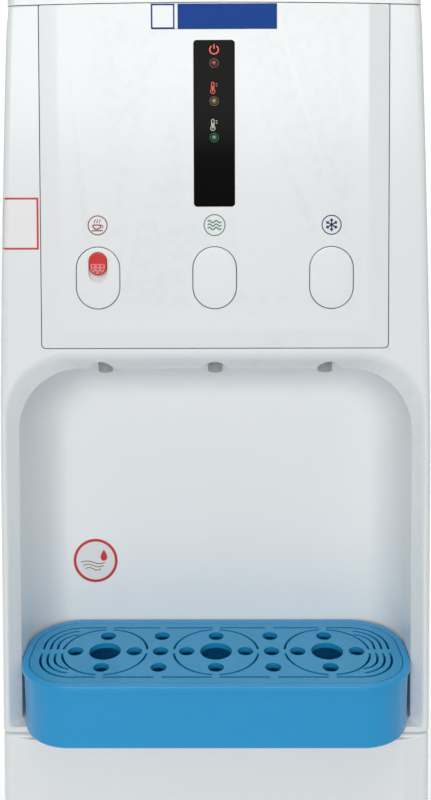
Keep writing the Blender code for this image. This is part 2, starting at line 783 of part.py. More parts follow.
def arc_slot(centre_x, radius, start, end, width, steps=4):
    """Ring slot's outline in plan, between two angles in degrees."""
    outline = []
    for reach, order in ((radius + width / 2, 1), (radius - width / 2, -1)):
        angles = [math.radians(start + (end - start) * k / steps) for k in range(steps + 1)]
        for angle in angles[::order]:
            outline.append((centre_x + reach * math.cos(angle), TRAY_MIDDLE + reach * math.sin(angle)))
    return outline


def end_slot(side, quarter, inset, reach, width):
    """Slot round one quarter of the tray's end, from its middle line to x = reach."""
    radius = TRAY_CORNER - inset
    centre_x = TRAY_HALF - TRAY_CORNER
    centre_d = (TRAY_REAR if quarter > 0 else TRAY_FRONT) - quarter * TRAY_CORNER
    bridge = 0.0028
    sweep = math.pi / 2
    if reach > centre_x:
        sweep = math.acos((reach - centre_x) / (radius - width / 2))
    outline = []
    for offset, order in ((0.0, 1), (width, -1)):
        bend = radius - offset
        line = [(centre_x + bend, TRAY_MIDDLE + quarter * bridge)]
        for step in range(5):
            angle = sweep * step / 4
            line.append((centre_x + bend * math.cos(angle), centre_d + quarter * bend * math.sin(angle)))
        if reach < centre_x:
            line.append((reach, centre_d + quarter * bend))
        outline += line[::order]
    return [(side * x, depth) for x, depth in outline]


def build_drip_grille():
    top = TRAY_TOP_Z - 0.0001
    low = TRAY_TOP_Z - GRILLE_THICKNESS
    plate = flat_prism(tray_outline(RIM_WIDTH), low, top)
    grille = add_object("drip_grille", plate, "blue_plastic", at(0, TRAY_MIDDLE, low))
    outlines = []
    bridge_angle = 5
    for x in TAPS.values():
        for quarter in range(4):
            start = 90 * quarter + bridge_angle
            outlines.append(arc_slot(x, 0.0323, start, start + 90 - 2 * bridge_angle, SLOT_WIDTH))
    for side in (-1, 1):
        for quarter in (-1, 1):
            for inset, reach in ((0.0125, 0.088), (0.0178, 0.109), (0.0231, 0.109)):
                outlines.append(end_slot(side, quarter, inset, reach, SLOT_WIDTH))
    for line in (TRAY_FRONT + 0.0125, TRAY_REAR - 0.0125 - SLOT_WIDTH):
        far = line + SLOT_WIDTH
        for low_x, high_x in ((-0.082, -0.0455), (-0.0395, -0.003), (0.003, 0.0395), (0.0455, 0.082)):
            outlines.append([(low_x, line), (high_x, line), (high_x, far), (low_x, far)])
    slots = [flat_prism(outline, low - 0.002, top + 0.002) for outline in outlines]
    cut(grille, "slots", together(slots))
    holes = []
    for x in TAPS.values():
        holes.append((x, TRAY_MIDDLE, 0.01215, 14))
        for quarter in range(4):
            angle = math.radians(90 * quarter)
            holes.append((x + 0.0225 * math.cos(angle), TRAY_MIDDLE + 0.0225 * math.sin(angle), 0.006, 8))
    for side in (-1, 1):
        for row in (-1, 0, 1):
            holes.append((side * BUTTON_PITCH / 2, TRAY_MIDDLE + row * 0.0225, 0.006, 8))
    drills = [rod(at(x, d, low - 0.002), at(x, d, top + 0.002), r, "z", n) for x, d, r, n in holes]
    cut(grille, "holes", together(drills))


# ---------------------------------------------------------------- door and cabinet
def door_ring(depth, side_inset, end_inset):
    outline = rounded_outline(
        -DOOR_HALF + side_inset,
        DOOR_HALF - side_inset,
        DOOR_LOW_Z + end_inset,
        DOOR_HIGH_Z - end_inset,
        0.003,
        0.003,
        3,
    )
    return facing_front(outline, depth)


def pin_holes():
    upper = rod(at(HINGE_X, HINGE_DEPTH, 0.4035), at(HINGE_X, HINGE_DEPTH, 0.425), 0.0029, "z", 12)
    lower = rod(at(HINGE_X, HINGE_DEPTH, 0.040), at(HINGE_X, HINGE_DEPTH, 0.0585), 0.0029, "z", 12)
    return together([upper, lower])


def build_door():
    axis = at(HINGE_X, HINGE_DEPTH, (DOOR_LOW_Z + DOOR_HIGH_Z) / 2)
    rings = [
        door_ring(DOOR_SHELL_BACK, 0.0, 0.0),
        door_ring(0.008, 0.0, 0.0),
        door_ring(0.0035, 0.0018, 0.0008),
        door_ring(FASCIA_DEPTH, 0.0062, 0.0020),
        door_ring(0.0019, 0.0077, 0.0021),
        door_ring(-0.001, 0.0197, 0.0030),
    ]
    shell = add_object("door_panel", loft(rings), "white_shell", axis)
    hollow = [door_ring(0.0046, DOOR_WALL, DOOR_WALL), door_ring(0.040, DOOR_WALL, DOOR_WALL)]
    cut(shell, "hollow", loft(hollow))
    cut(shell, "pins", pin_holes())
    cut(shell, "grip", box((-0.165, -0.150), (0.018, 0.040), (0.200, 0.280)))
    slab = [door_ring(0.0049, 0.0029, 0.0029), door_ring(0.0392, 0.0029, 0.0029)]
    liner = add_object("door_liner", loft(slab), "white_shell", axis)
    cut(liner, "pins", pin_holes())
    cut(liner, "grip", box((-0.165, -0.142), (0.0165, 0.0415), (0.198, 0.282)))
    outer = rounded_outline(-0.147, 0.147, 0.052, 0.408, 0.006, 0.006, 3)
    seal = add_object("door_gasket", front_prism(outer, 0.0395, 0.0442), "gasket", axis)
    inner = rounded_outline(-0.136, 0.136, 0.058, 0.402, 0.003, 0.003, 3)
    cut(seal, "middle", front_prism(inner, 0.035, 0.050))


def build_hinges():
    pin = HINGE_PIN_RADIUS
    plates = {
        "upper_hinge": ((0.1481, 0.1564), (0.4192, 0.4209), (0.4045, 0.4200)),
        "lower_hinge": ((0.1440, 0.1564), (0.0416, 0.0438), (0.0430, 0.0575)),
    }
    for name, (span, level, reach) in plates.items():
        bracket = add_object(name, box(span, (0.008, 0.0422), level), "stainless")
        start = at(HINGE_X, HINGE_DEPTH, reach[0])
        end = at(HINGE_X, HINGE_DEPTH, reach[1])
        weld_on(bracket, "pin", rod(start, end, pin, "z", 12))


def stepped_boxes(grow, front, top_overlap):
    """The cooled space: a deep upper box and a shallow lower one, grown by a wall."""
    side = OPENING_HALF + grow
    upper = box((-side, side), (front, UPPER_BACK + grow), (STEP_Z - grow, OPENING_HIGH_Z + grow))
    lower = box((-side, side), (front, LOWER_BACK + grow), (OPENING_LOW_Z - grow, STEP_Z + top_overlap))
    return upper, lower


def build_cabinet():
    flange = box((-0.150, 0.150), (LINER_FRONT, LINER_FRONT + 0.002), (0.048, 0.414))
    liner = add_object("cabinet_liner", flange, "white_shell")
    upper, lower = stepped_boxes(LINER_WALL, LINER_FRONT + 0.001, 0.010)
    weld_on(liner, "upper_box", upper)
    weld_on(liner, "lower_box", lower)
    upper, lower = stepped_boxes(0.0, 0.040, 0.012)
    cut(liner, "upper_space", upper)
    cut(liner, "lower_space", lower)
    foam = box((-0.151, 0.151), (0.0472, 0.172), (0.050, 0.413))
    foam = add_object("cabinet_insulation", foam, "foam")
    weld_on(foam, "upper_block", box((-0.151, 0.151), (0.060, 0.238), (0.212, 0.4125)))
    upper, lower = stepped_boxes(LINER_WALL + GAP, 0.040, 0.014)
    cut(foam, "upper_space", upper)
    cut(foam, "lower_space", lower)
    shelf = box((-0.1315, 0.1315), (0.052, 0.149), (0.233, 0.237))
    shelf = add_object("cabinet_shelf", shelf, "white_shell")
    slots = []
    for row in range(7):
        x = -0.111 + row * 0.037
        slots.append(box((x - 0.010, x + 0.010), (0.062, 0.139), (0.230, 0.240)))
    cut(shelf, "slots", together(slots))


# ---------------------------------------------------------------- water and cooling
def build_bottle_funnel():
    profile = [
        (0.0840, 0.9846),
        (0.0700, 0.9846),
        (0.0660, 0.9810),
        (0.0345, 0.9500),
        (0.0325, 0.9220),
        (0.0120, 0.9180),
        (0.0120, 0.8990),
        (0.0030, 0.8990),
        (0.0030, 0.9860),
        (0.0050, 0.9860),
        (0.0080, 0.9780),
        (0.0080, 0.9260),
        (0.0300, 0.9260),
        (0.0320, 0.9510),
        (0.0640, 0.9850),
        (0.0725, 0.9960),
        (0.0735, 1.0000),
        (0.0765, 1.0000),
        (0.0790, 0.9900),
        (0.0840, 0.9870),
    ]
    turned("bottle_funnel", profile, (0.0, TANK_DEPTH), "white_shell", 20)


def build_cold_side():
    wall = 0.0015
    radius = COLD_TANK_RADIUS
    low, high = 0.740, 0.905
    tank = [
        (0.014, high - wall),
        (0.014, high),
        (radius - 0.003, high),
        (radius, high - 0.003),
        (radius, low + 0.003),
        (radius - 0.003, low),
        (0.0, low),
    ]
    inside = [
        (0.0, low + wall),
        (radius - 0.004, low + wall),
        (radius - wall, low + 0.004),
        (radius - wall, high - 0.004),
        (radius - 0.004, high - wall),
    ]
    turned("cold_tank", [*inside, *tank], (0.0, TANK_DEPTH), "stainless", 16, loop=False)
    jacket = [
        (0.0, 0.738),
        (JACKET_BORE, 0.738),
        (JACKET_BORE, 0.907),
        (0.037, 0.907),
        (0.037, 0.917),
        (JACKET_RADIUS, 0.917),
        (JACKET_RADIUS, 0.724),
        (0.0, 0.724),
    ]
    foam = turned("tank_insulation", jacket, (0.0, TANK_DEPTH), "foam", 16, loop=False)
    cold = rod(at(0.025, 0.070, 0.750), at(0.025, 0.105, 0.750), 0.0055, "y", 12)
    normal = rod(at(0.0, 0.070, 0.888), at(0.0, 0.105, 0.888), 0.0055, "y", 12)
    cut(foam, "hose_holes", together([cold, normal]))
    turns, per_turn, coil = 5, 12, 0.0664
    points = []
    for step in range(turns * per_turn + 1):
        angle = 2 * math.pi * step / per_turn
        z = 0.775 + 0.016 * step / per_turn
        points.append(at(coil * math.cos(angle), TANK_DEPTH + coil * math.sin(angle), z))
    tube("evaporator_coil", points, 0.0020, "copper", 1)


def build_hot_side():
    radius, low, high = HOT_TANK_RADIUS, 0.470, 0.640
    profile = [
        (0.0, high + 0.012),
        (0.005, high + 0.012),
        (0.005, high + 0.001),
        (radius - 0.006, high),
        (radius, high - 0.006),
        (radius, low + 0.006),
        (radius - 0.006, low),
        (0.0, low),
    ]
    turned("hot_tank", profile, (HOT_TANK_X, HOT_TANK_DEPTH), "stainless", 20, loop=False)


def build_hoses():
    start = INLET_END + GAP
    routes = {
        "hot_hose": [
            at(-0.085, start, INLET_Z),
            at(-0.085, 0.080, INLET_Z),
            at(-0.080, 0.110, 0.706),
            at(-0.067, 0.148, 0.686),
            at(-0.0605, 0.164, 0.670),
            at(-0.060, 0.165, 0.660),
            at(-0.060, 0.165, 0.6525),
        ],
        "normal_hose": [
            at(0.0, start, INLET_Z),
            at(0.0, 0.0585, INLET_Z),
            at(0.0, 0.0620, INLET_Z),
            at(0.0, 0.0685, 0.719),
            at(0.0, 0.0712, 0.730),
            at(0.0, 0.0712, 0.745),
            at(0.0, 0.0712, 0.800),
            at(0.0, 0.0710, 0.876),
            at(0.0, 0.0760, 0.886),
            at(0.0, 0.0880, 0.888),
            at(0.0, 0.0970, 0.888),
        ],
        "cold_hose": [
            at(0.085, start, INLET_Z),
            at(0.085, 0.0680, INLET_Z),
            at(0.081, 0.0770, 0.719),
            at(0.066, 0.0800, 0.729),
            at(0.046, 0.0770, 0.742),
            at(0.031, 0.0740, 0.749),
            at(0.0255, 0.0775, 0.750),
            at(0.025, 0.0880, 0.750),
            at(0.025, 0.1010, 0.750),
        ],
    }
    for name, knots in routes.items():
        tube(name, smooth_route(knots, 3), 0.0040, "hose")


def build_compressor():
    profile = [
        (0.0, 0.185),
        (0.024, 0.183),
        (0.042, 0.172),
        (0.051, 0.150),
        (0.052, 0.112),
        (0.054, 0.110),
        (0.054, 0.104),
        (0.052, 0.102),
        (0.051, 0.060),
        (0.040, 0.044),
        (0.0, 0.040),
    ]
    place = (COMPRESSOR_X, COMPRESSOR_DEPTH)
    shell = turned("compressor", profile, place, "black_steel", 20, loop=False)
    weld_on(shell, "foot_plate", box((-0.030, 0.110), (0.190, 0.282), (0.036, 0.0445)))


def build_condenser():
    """Serpentine tube on the back, with tails that pass in through the rear panel."""
    depth = BODY_DEPTH + COIL_STAND_OFF
    half, low, high, runs = 0.112, 0.500, 0.872, 11
    pitch = (high - low) / (runs - 1)
    points = [at(0.125, 0.288, 0.240), at(0.125, depth - 0.005, 0.240), at(0.125, depth, 0.250)]
    points += [at(0.125, depth, low - 0.012), at(0.121, depth, low - 0.003), at(half, depth, low)]
    for run in range(runs):
        z = low + run * pitch
        side = -1 if run % 2 == 0 else 1
        points.append(at(side * half, depth, z))
        if run == runs - 1:
            continue
        for step in range(1, 5):
            angle = math.radians(180 * step / 4 - 90)
            bulge = pitch / 2 * math.cos(angle) * 0.6
            points.append(at(side * (half + bulge), depth, z + pitch / 2 * (1 + math.sin(angle))))
    points += [at(-0.124, depth, high - 0.010), at(-0.129, depth, high - 0.030)]
    points += [at(-0.129, depth, 0.260), at(-0.127, depth, 0.248), at(-0.125, depth - 0.005, 0.240)]
    points.append(at(-0.125, 0.288, 0.240))
    tube("condenser_coil", points, COIL_RADIUS, "black_steel", 1)


def build_rear_fittings():
    pipe = [
        at(HOT_TANK_X, HOT_TANK_DEPTH, 0.4697),
        at(HOT_TANK_X, HOT_TANK_DEPTH, 0.4570),
        at(HOT_TANK_X, HOT_TANK_DEPTH + 0.003, 0.4490),
        at(HOT_TANK_X, HOT_TANK_DEPTH + 0.012, DRAIN_Z),
        at(HOT_TANK_X, 0.3050, DRAIN_Z),
    ]
    tube("drain_pipe", pipe, 0.0070, "tap_plastic")
    centre = at(HOT_TANK_X, 0, DRAIN_Z)
    back = Vector((0, 1, 0))
    cap = rod(centre + back * 0.3000, centre + back * 0.3088, 0.0105, "y", 16)
    cap = add_object("drain_cap", cap, "black_plastic", at(HOT_TANK_X, 0.3088, DRAIN_Z))
    cut(cap, "bore", rod(centre + back * 0.2950, centre + back * 0.3056, 0.0079, "y", 12))
    gland = rod(at(GLAND_X, 0.290, GLAND_Z), at(GLAND_X, 0.3085, GLAND_Z), 0.0095, "y", 16)
    gland = add_object("power_inlet", gland, "black_plastic")
    flange = rod(at(GLAND_X, 0.2998, GLAND_Z), at(GLAND_X, 0.3025, GLAND_Z), 0.0145, "y", 16)
    weld_on(gland, "flange", flange)
    bore = rod(at(GLAND_X, 0.300, GLAND_Z), at(GLAND_X, 0.312, GLAND_Z), 0.0040, "y", 10)
    cut(gland, "bore", bore)


def build_switches():
    low, high = SWITCH_Z - 0.014, SWITCH_Z + 0.014
    housing = box((0.072, 0.120), (0.284, 0.3015), (low, high))
    housing = add_object("switch_housing", housing, "black_plastic")
    wells = []
    for x in SWITCH_XS:
        well_z = (SWITCH_Z - 0.0112, SWITCH_Z + 0.0112)
        wells.append(box((x - 0.0086, x + 0.0086), (0.2885, 0.310), well_z))
    cut(housing, "wells", together(wells))
    names = (("heater_switch", "red_plastic"), ("cooling_switch", "green_plastic"))
    shape = [
        (0.0048, 0.0098),
        (0.0030, 0.0),
        (0.0048, -0.0098),
        (-0.0030, -0.0088),
        (-0.0055, 0.0),
        (-0.0030, 0.0088),
    ]
    cos, sin = math.cos(SWITCH_TILT), math.sin(SWITCH_TILT)
    for (name, material), x in zip(names, SWITCH_XS):
        tilted = [(SWITCH_PIVOT + d * cos - z * sin, SWITCH_Z + d * sin + z * cos) for d, z in shape]
        body = side_prism(tilted, x - 0.0082, x + 0.0082)
        add_object(name, body, material, at(x, SWITCH_PIVOT, SWITCH_Z))


def build():
    build_front_fascia()
    build_niche_liner()
    build_side_panel("left_side_panel", -1)
    build_side_panel("right_side_panel", 1)
    build_rear_panel()
    build_base()
    build_top_cover()
    build_control_panel()
    build_display()
    for name, x in TAPS.items():
        button = build_button(name, x)
        if name == "hot":
            build_child_lock(button, x)
        build_tap(name, x)
        build_lever(name, x)
        build_stem(name, x)
    build_drip_tub()
    build_drip_grille()
    build_door()
    build_hinges()
    build_cabinet()
    build_bottle_funnel()
    build_cold_side()
    build_hot_side()
    build_hoses()
    build_compressor()
    build_condenser()
    build_rear_fittings()
    build_switches()


build()
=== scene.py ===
"""Looks of a floor-standing bottled-water dispenser with three push-button taps.

Lengths are metres, +Z is up and the front faces -Y.  Places on the object are given as
(x, depth, z): x from the middle plane, depth back from the front of the control panel, and z
above the floor.
"""

import json
import logging
import math
from dataclasses import dataclass, field
from enum import Enum

import bmesh
import bpy
import numpy as np
from mathutils import Matrix, Vector


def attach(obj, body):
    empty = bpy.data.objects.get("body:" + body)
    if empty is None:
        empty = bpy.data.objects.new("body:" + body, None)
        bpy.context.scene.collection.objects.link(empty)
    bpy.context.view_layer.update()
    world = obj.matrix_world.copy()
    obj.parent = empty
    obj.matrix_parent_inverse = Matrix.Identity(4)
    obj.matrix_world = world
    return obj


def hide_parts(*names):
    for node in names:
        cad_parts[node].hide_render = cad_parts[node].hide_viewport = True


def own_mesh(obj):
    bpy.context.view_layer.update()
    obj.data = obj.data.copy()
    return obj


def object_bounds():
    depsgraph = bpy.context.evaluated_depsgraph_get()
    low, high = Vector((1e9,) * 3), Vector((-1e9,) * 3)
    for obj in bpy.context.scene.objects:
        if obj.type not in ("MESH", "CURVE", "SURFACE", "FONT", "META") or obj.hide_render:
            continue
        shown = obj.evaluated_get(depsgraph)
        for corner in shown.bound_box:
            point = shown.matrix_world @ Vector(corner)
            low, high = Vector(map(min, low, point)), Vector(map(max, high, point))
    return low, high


LOG = logging.getLogger("water_dispenser")

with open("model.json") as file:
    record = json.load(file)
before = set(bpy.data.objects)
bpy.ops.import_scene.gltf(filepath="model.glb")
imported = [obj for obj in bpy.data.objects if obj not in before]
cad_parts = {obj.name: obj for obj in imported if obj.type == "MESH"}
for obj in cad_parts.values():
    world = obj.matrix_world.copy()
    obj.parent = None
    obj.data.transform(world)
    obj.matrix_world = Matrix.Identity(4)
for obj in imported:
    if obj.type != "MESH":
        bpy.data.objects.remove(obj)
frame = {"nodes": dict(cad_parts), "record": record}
CAD_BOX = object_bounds()

TRAY_OVERHANG = 0.0265
PANEL_Y = CAD_BOX[0][1] + TRAY_OVERHANG

HALF_WIDTH = 0.1595
WAIST_Z = 0.630
TOP_EDGE_Z = 0.9595
FASCIA_BOTTOM_Z = 0.419
NICHE_FLOOR_Z = 0.4238
TAP_PITCH = 0.085
TAP_DEPTH = 0.042
SPRING_LOW_Z = 0.7268
SPRING_HIGH_Z = 0.7374

# niche: half width of the slot round a nozzle, and of the ring of holes under it
SLOT_RADIUS = 0.0108
HOLE_RING_RADIUS = 0.0225

# lamps in the window: name, height above the buttons, tint
LAMPS = (("power_lamp", 0.1555, "red"), ("hot_lamp", 0.1282, "amber"), ("cold_lamp", 0.1019, "green"))
BUTTON_Z = 0.760
LOCK_TOP_Z = BUTTON_Z + 0.0188
SMOOTH_ANGLE = math.radians(32)

Grid = np.ndarray


class Ends(Enum):
    """How the first and last ring of a skinned solid are closed."""

    CAPPED = "capped"
    JOINED = "joined"


class Tap(Enum):
    """The three taps, by their place across the panel."""

    HOT = -TAP_PITCH
    NORMAL = 0.0
    COLD = TAP_PITCH

    @property
    def label(self) -> str:
        """Lower-case name of the tap, as the frame's nodes use it."""
        return self.name.lower()


# ------------------------------------------------------------------ shapes
def half_width(z: Grid) -> Grid:
    """Half the cabinet's width at a height: it narrows above the waist by a slope and a curve.

    Args:
        z: Heights above the floor.

    Returns:
        Half widths, HALF_WIDTH less 0.0155 r and 0.034 r squared, r being the rise over the waist.
    """
    rise = np.maximum(0.0, np.asarray(z) - WAIST_Z)
    return HALF_WIDTH - 0.0155 * rise - 0.034 * rise**2


def top_edge(x: Grid) -> Grid:
    """Height of the arched top edge: its crown less 2.5 mm times (x / half width) squared."""
    return TOP_EDGE_Z - 0.0025 * (np.asarray(x) / HALF_WIDTH) ** 2


def in_frame(x: Grid, depth: Grid, z: Grid) -> Grid:
    """Stack coordinates into points of the frame, turning depth into Y.

    Args:
        x: Places across.
        depth: Depths behind the front of the control panel.
        z: Heights above the floor.

    Returns:
        Array with the broadcast shape of the inputs and a last axis of three.
    """
    x, depth, z = np.broadcast_arrays(x, depth, z)
    return np.stack([x, PANEL_Y + depth, z], axis=-1).astype(float)


def rounded_outline(
    low: tuple[float, float],
    high: tuple[float, float],
    low_radius: float,
    high_radius: float,
    steps: int = 10,
    between: int = 6,
) -> Grid:
    """Rounded rectangle: four quarter circles, joined by evenly divided straight runs.

    Args:
        low: Lowest (u, v).
        high: Highest (u, v).
        low_radius: Corner radius at the low-v corners.
        high_radius: Corner radius at the high-v corners.
        steps: Divisions of each quarter circle.
        between: Points on each straight run.

    Returns:
        Closed outline of 4 * (steps + 1 + between) points (u, v), counter-clockwise.
    """
    radius = np.array([low_radius, high_radius, high_radius, low_radius])
    centre_u = np.array([high[0], high[0], low[0], low[0]]) + radius * np.array([-1, -1, 1, 1])
    centre_v = np.array([low[1], high[1], high[1], low[1]]) + radius * np.array([1, -1, -1, 1])
    start = np.radians([-90.0, 0.0, 90.0, 180.0])
    angle = start[:, None] + np.linspace(0, math.pi / 2, steps + 1)[None, :]
    arcs = np.stack(
        [
            centre_u[:, None] + radius[:, None] * np.cos(angle),
            centre_v[:, None] + radius[:, None] * np.sin(angle),
        ],
        axis=-1,
    )
    leave = arcs[:, -1]
    reach = np.roll(arcs, -1, axis=0)[:, 0]
    share = np.linspace(0, 1, between + 2)[1:-1]
    runs = leave[:, None] + (reach - leave)[:, None] * share[None, :, None]
    return np.concatenate([arcs, runs], axis=1).reshape(-1, 2)


def stadium(x: float, low: float, high: float, half: float, steps: int = 14) -> Grid:
    """Upright outline with half-round ends, as (x, z) points."""
    return rounded_outline((x - half, low), (x + half, high), half, half, steps, 4)


def grid_faces(rows: int, columns: int, join_rows: bool) -> Grid:
    """Quads between neighbouring rings of a grid whose columns run round and close.

    Args:
        rows: Number of rings.
        columns: Points in each ring.
        join_rows: Whether the last ring connects to the first.

    Returns:
        Array of vertex numbers, four to a face.
    """
    row = np.arange(rows if join_rows else rows - 1)
    row, column = np.meshgrid(row, np.arange(columns), indexing="ij")
    after, below = (column + 1) % columns, (row + 1) % rows
    quads = [row * columns + column, row * columns + after, below * columns + after, below * columns + column]
    return np.stack(quads, axis=-1).reshape(-1, 4)


@dataclass
class Solid:
    """Closed surfaces gathered in one mesh, each skinned over rings of points."""

    points: list[Grid] = field(default_factory=list)
    faces: list[list[int]] = field(default_factory=list)
    count: int = 0

    def skin(self, rings: Grid, ends: Ends = Ends.CAPPED) -> "Solid":
        """Add a surface over rings of equal length.

        Args:
            rings: Array (rings, points, 3).
            ends: Whether the end rings are capped or joined to each other.

        Returns:
            The solid itself, so that calls can follow on.
        """
        rows, columns = rings.shape[:2]
        quads = grid_faces(rows, columns, ends is Ends.JOINED) + self.count
        self.faces += quads.tolist()
        if ends is Ends.CAPPED:
            first = np.arange(columns) + self.count
            self.faces += [first[::-1].tolist(), (first + (rows - 1) * columns).tolist()]
        self.points.append(rings.reshape(-1, 3))
        self.count += rows * columns
        return self

    def mesh_object(self, name: str) -> bpy.types.Object:
        """Make the object, with its doubles merged and its faces turned outwards."""
        mesh = bpy.data.meshes.new(name)
        mesh.from_pydata(np.concatenate(self.points).tolist(), [], self.faces)
        bm = bmesh.new()
        bm.from_mesh(mesh)
        bmesh.ops.remove_doubles(bm, verts=bm.verts[:], dist=1e-6)
        bmesh.ops.recalc_face_normals(bm, faces=bm.faces[:])
        bm.to_mesh(mesh)
        bm.free()
        obj = bpy.data.objects.new(name, mesh)
        bpy.context.scene.collection.objects.link(obj)
        return obj


def rings_at_depth(outlines: Grid, depths: Grid) -> Grid:
    """Rings facing the front: outlines (rings, points, 2) of (x, z), each at its own depth."""
    depths = np.asarray(depths, dtype=float)
    depths = depths[:, None] if depths.ndim == 1 else depths
    return in_frame(outlines[..., 0], depths, outlines[..., 1])


def rings_at_height(outlines: Grid, heights: Grid) -> Grid:
    """Rings lying flat: outlines (rings, points, 2) of (x, depth), each at its own height."""
    return in_frame(outlines[..., 0], outlines[..., 1], np.asarray(heights, dtype=float)[:, None])


def quarter(steps: int, end: float = 90.0) -> tuple[Grid, Grid]:
    """Sine and one-minus-cosine of evenly spaced angles from 0 to an end, for roundings."""
    angle = np.radians(np.linspace(0, end, steps + 1))
    return np.sin(angle), 1 - np.cos(angle)


def turned(profile: Grid, centre: tuple[float, float], segments: int = 64) -> Grid:
    """Turn a profile about an upright axis: x = r cos t, depth = r sin t, z kept.

    Args:
        profile: Points (radius, z) in order.
        centre: The axis's (x, depth).
        segments: Divisions round the axis.

    Returns:
        Rings, one for each profile point.
    """
    profile = np.asarray(profile, dtype=float)
    turn = np.linspace(0, 2 * math.pi, segments, endpoint=False)
    radius, height = profile[:, 0:1], profile[:, 1:2]
    return in_frame(centre[0] + radius * np.cos(turn), centre[1] + radius * np.sin(turn), height)


def ribbon(path: Grid, half: float, near: float, far: float) -> Grid:
    """Flat printed stroke along a path on the front, with rounded ends.

    Its half width at a distance s from an end is sqrt(h^2 - (h - s)^2) while s is below h.

    Args:
        path: Points (x, z) in order.
        half: Half the stroke's width.
        near: Depth of its face.
        far: Depth of its back.

    Returns:
        Rings of four points.
    """
    leg = np.hypot(*np.diff(path, axis=0).T)
    run = np.concatenate([[0.0], np.cumsum(leg)])
    ease = half * (1 - np.cos(np.linspace(0.12, math.pi / 2, 6)))
    stops = np.concatenate([ease, np.linspace(half, run[-1] - half, max(4, 2 * len(path)))[1:-1]])
    stops = np.concatenate([stops, run[-1] - ease[::-1]])
    centre = np.stack([np.interp(stops, run, path[:, k]) for k in (0, 1)], axis=-1)
    along = np.gradient(centre, stops, axis=0)
    along /= np.linalg.norm(along, axis=1, keepdims=True)
    across = np.stack([-along[:, 1], along[:, 0]], axis=-1)
    reach = np.minimum(np.minimum(stops, run[-1] - stops), half)
    width = np.sqrt(np.maximum(half**2 - (half - reach) ** 2, 0.0))[:, None]
    sides = np.stack([centre + across * width, centre - across * width], axis=1)
    square = sides[:, [0, 0, 1, 1]]
    return in_frame(square[..., 0], np.array([far, near, near, far]), square[..., 1])


def hoop(centre: tuple[float, float], radius: float, half: float, near: float, far: float) -> Grid:
    """Flat printed ring on the front, as rings of four points round a closed path."""
    turn = np.linspace(0, 2 * math.pi, 56, endpoint=False)[:, None]
    reach = np.array([radius + half, radius + half, radius - half, radius - half])
    depth = np.array([far, near, near, far])
    return in_frame(centre[0] + reach * np.cos(turn), depth, centre[1] + reach * np.sin(turn))


def arc_path(centre: tuple[float, float], radius: float, start: float, end: float) -> Grid:
    """Points (x, z) on part of a circle, between two angles in degrees."""
    turn = np.radians(np.linspace(start, end, 25))
    return np.stack([centre[0] + radius * np.cos(turn), centre[1] + radius * np.sin(turn)], axis=-1)


# ------------------------------------------------------------------ node groups
def new_group(name: str, inputs: dict[str, float], outputs: dict[str, str]) -> bpy.types.NodeTree:
    """Start a shader node group with float inputs and named outputs."""
    tree = bpy.data.node_groups.new(name, "ShaderNodeTree")
    for label, value in inputs.items():
        socket = tree.interface.new_socket(label, in_out="INPUT", socket_type="NodeSocketFloat")
        socket.default_value = value
    for label, kind in outputs.items():
        tree.interface.new_socket(label, in_out="OUTPUT", socket_type=kind)
    return tree


class NodeBench:
    """Short calls for adding and wiring nodes in one tree."""

    def __init__(self, tree: bpy.types.NodeTree) -> None:
        """Keep the tree that the nodes go in."""
        self.tree = tree

    def add(self, kind: str, **values: object) -> bpy.types.Node:
        """Add a node and set its properties."""
        node = self.tree.nodes.new(kind)
        for key, value in values.items():
            setattr(node, key, value)
        return node

    def wire(self, source: bpy.types.NodeSocket, target: bpy.types.NodeSocket) -> None:
        """Connect two sockets."""
        self.tree.links.new(source, target)

    def noise(
        self, vector: bpy.types.NodeSocket,
        scale: float | bpy.types.NodeSocket, detail: float, rough: float = 0.5
    ) -> bpy.types.NodeSocket:
        """Fractal noise at a scale given as a number or a socket; returns its factor."""
        node = self.add("ShaderNodeTexNoise")
        node.inputs["Detail"].default_value = detail
        node.inputs["Roughness"].default_value = rough
        self.wire(vector, node.inputs["Vector"])
        self.feed(node.inputs["Scale"], scale)
        return node.outputs["Fac"]

    def feed(self, socket: bpy.types.NodeSocket, value: float | bpy.types.NodeSocket) -> None:
        """Set a socket to a number, or wire another socket to it."""
        if isinstance(value, bpy.types.NodeSocket):
            self.wire(value, socket)
        else:
            socket.default_value = value

    def maths(
        self, operation: str, a: float | bpy.types.NodeSocket, b: float | bpy.types.NodeSocket = 0.0
    ) -> bpy.types.NodeSocket:
        """Sum, product or other operation on two values."""
        node = self.add("ShaderNodeMath", operation=operation)
        self.feed(node.inputs[0], a)
        self.feed(node.inputs[1], b)
        return node.outputs[0]

    def span(
        self, value: bpy.types.NodeSocket, source: tuple[float, float], target: tuple[float, float]
    ) -> bpy.types.NodeSocket:
        """Map a value from one range to another, held at its ends."""
        node = self.add("ShaderNodeMapRange")
        self.wire(value, node.inputs["Value"])
        for label, number in zip(("From Min", "From Max", "To Min", "To Max"), (*source, *target)):
            node.inputs[label].default_value = number
        return node.outputs["Result"]

    def mix(
        self, factor: bpy.types.NodeSocket, a: tuple[float, float, float], b: tuple[float, float, float]
    ) -> bpy.types.NodeSocket:
        """Blend two colours by a factor."""
        node = self.add("ShaderNodeMix", data_type="RGBA")
        self.wire(factor, node.inputs["Factor"])
        for socket, colour in ((node.inputs[6], a), (node.inputs[7], b)):
            if isinstance(colour, bpy.types.NodeSocket):
                self.wire(colour, socket)
            else:
                socket.default_value = (*colour, 1.0)
        return node.outputs[2]


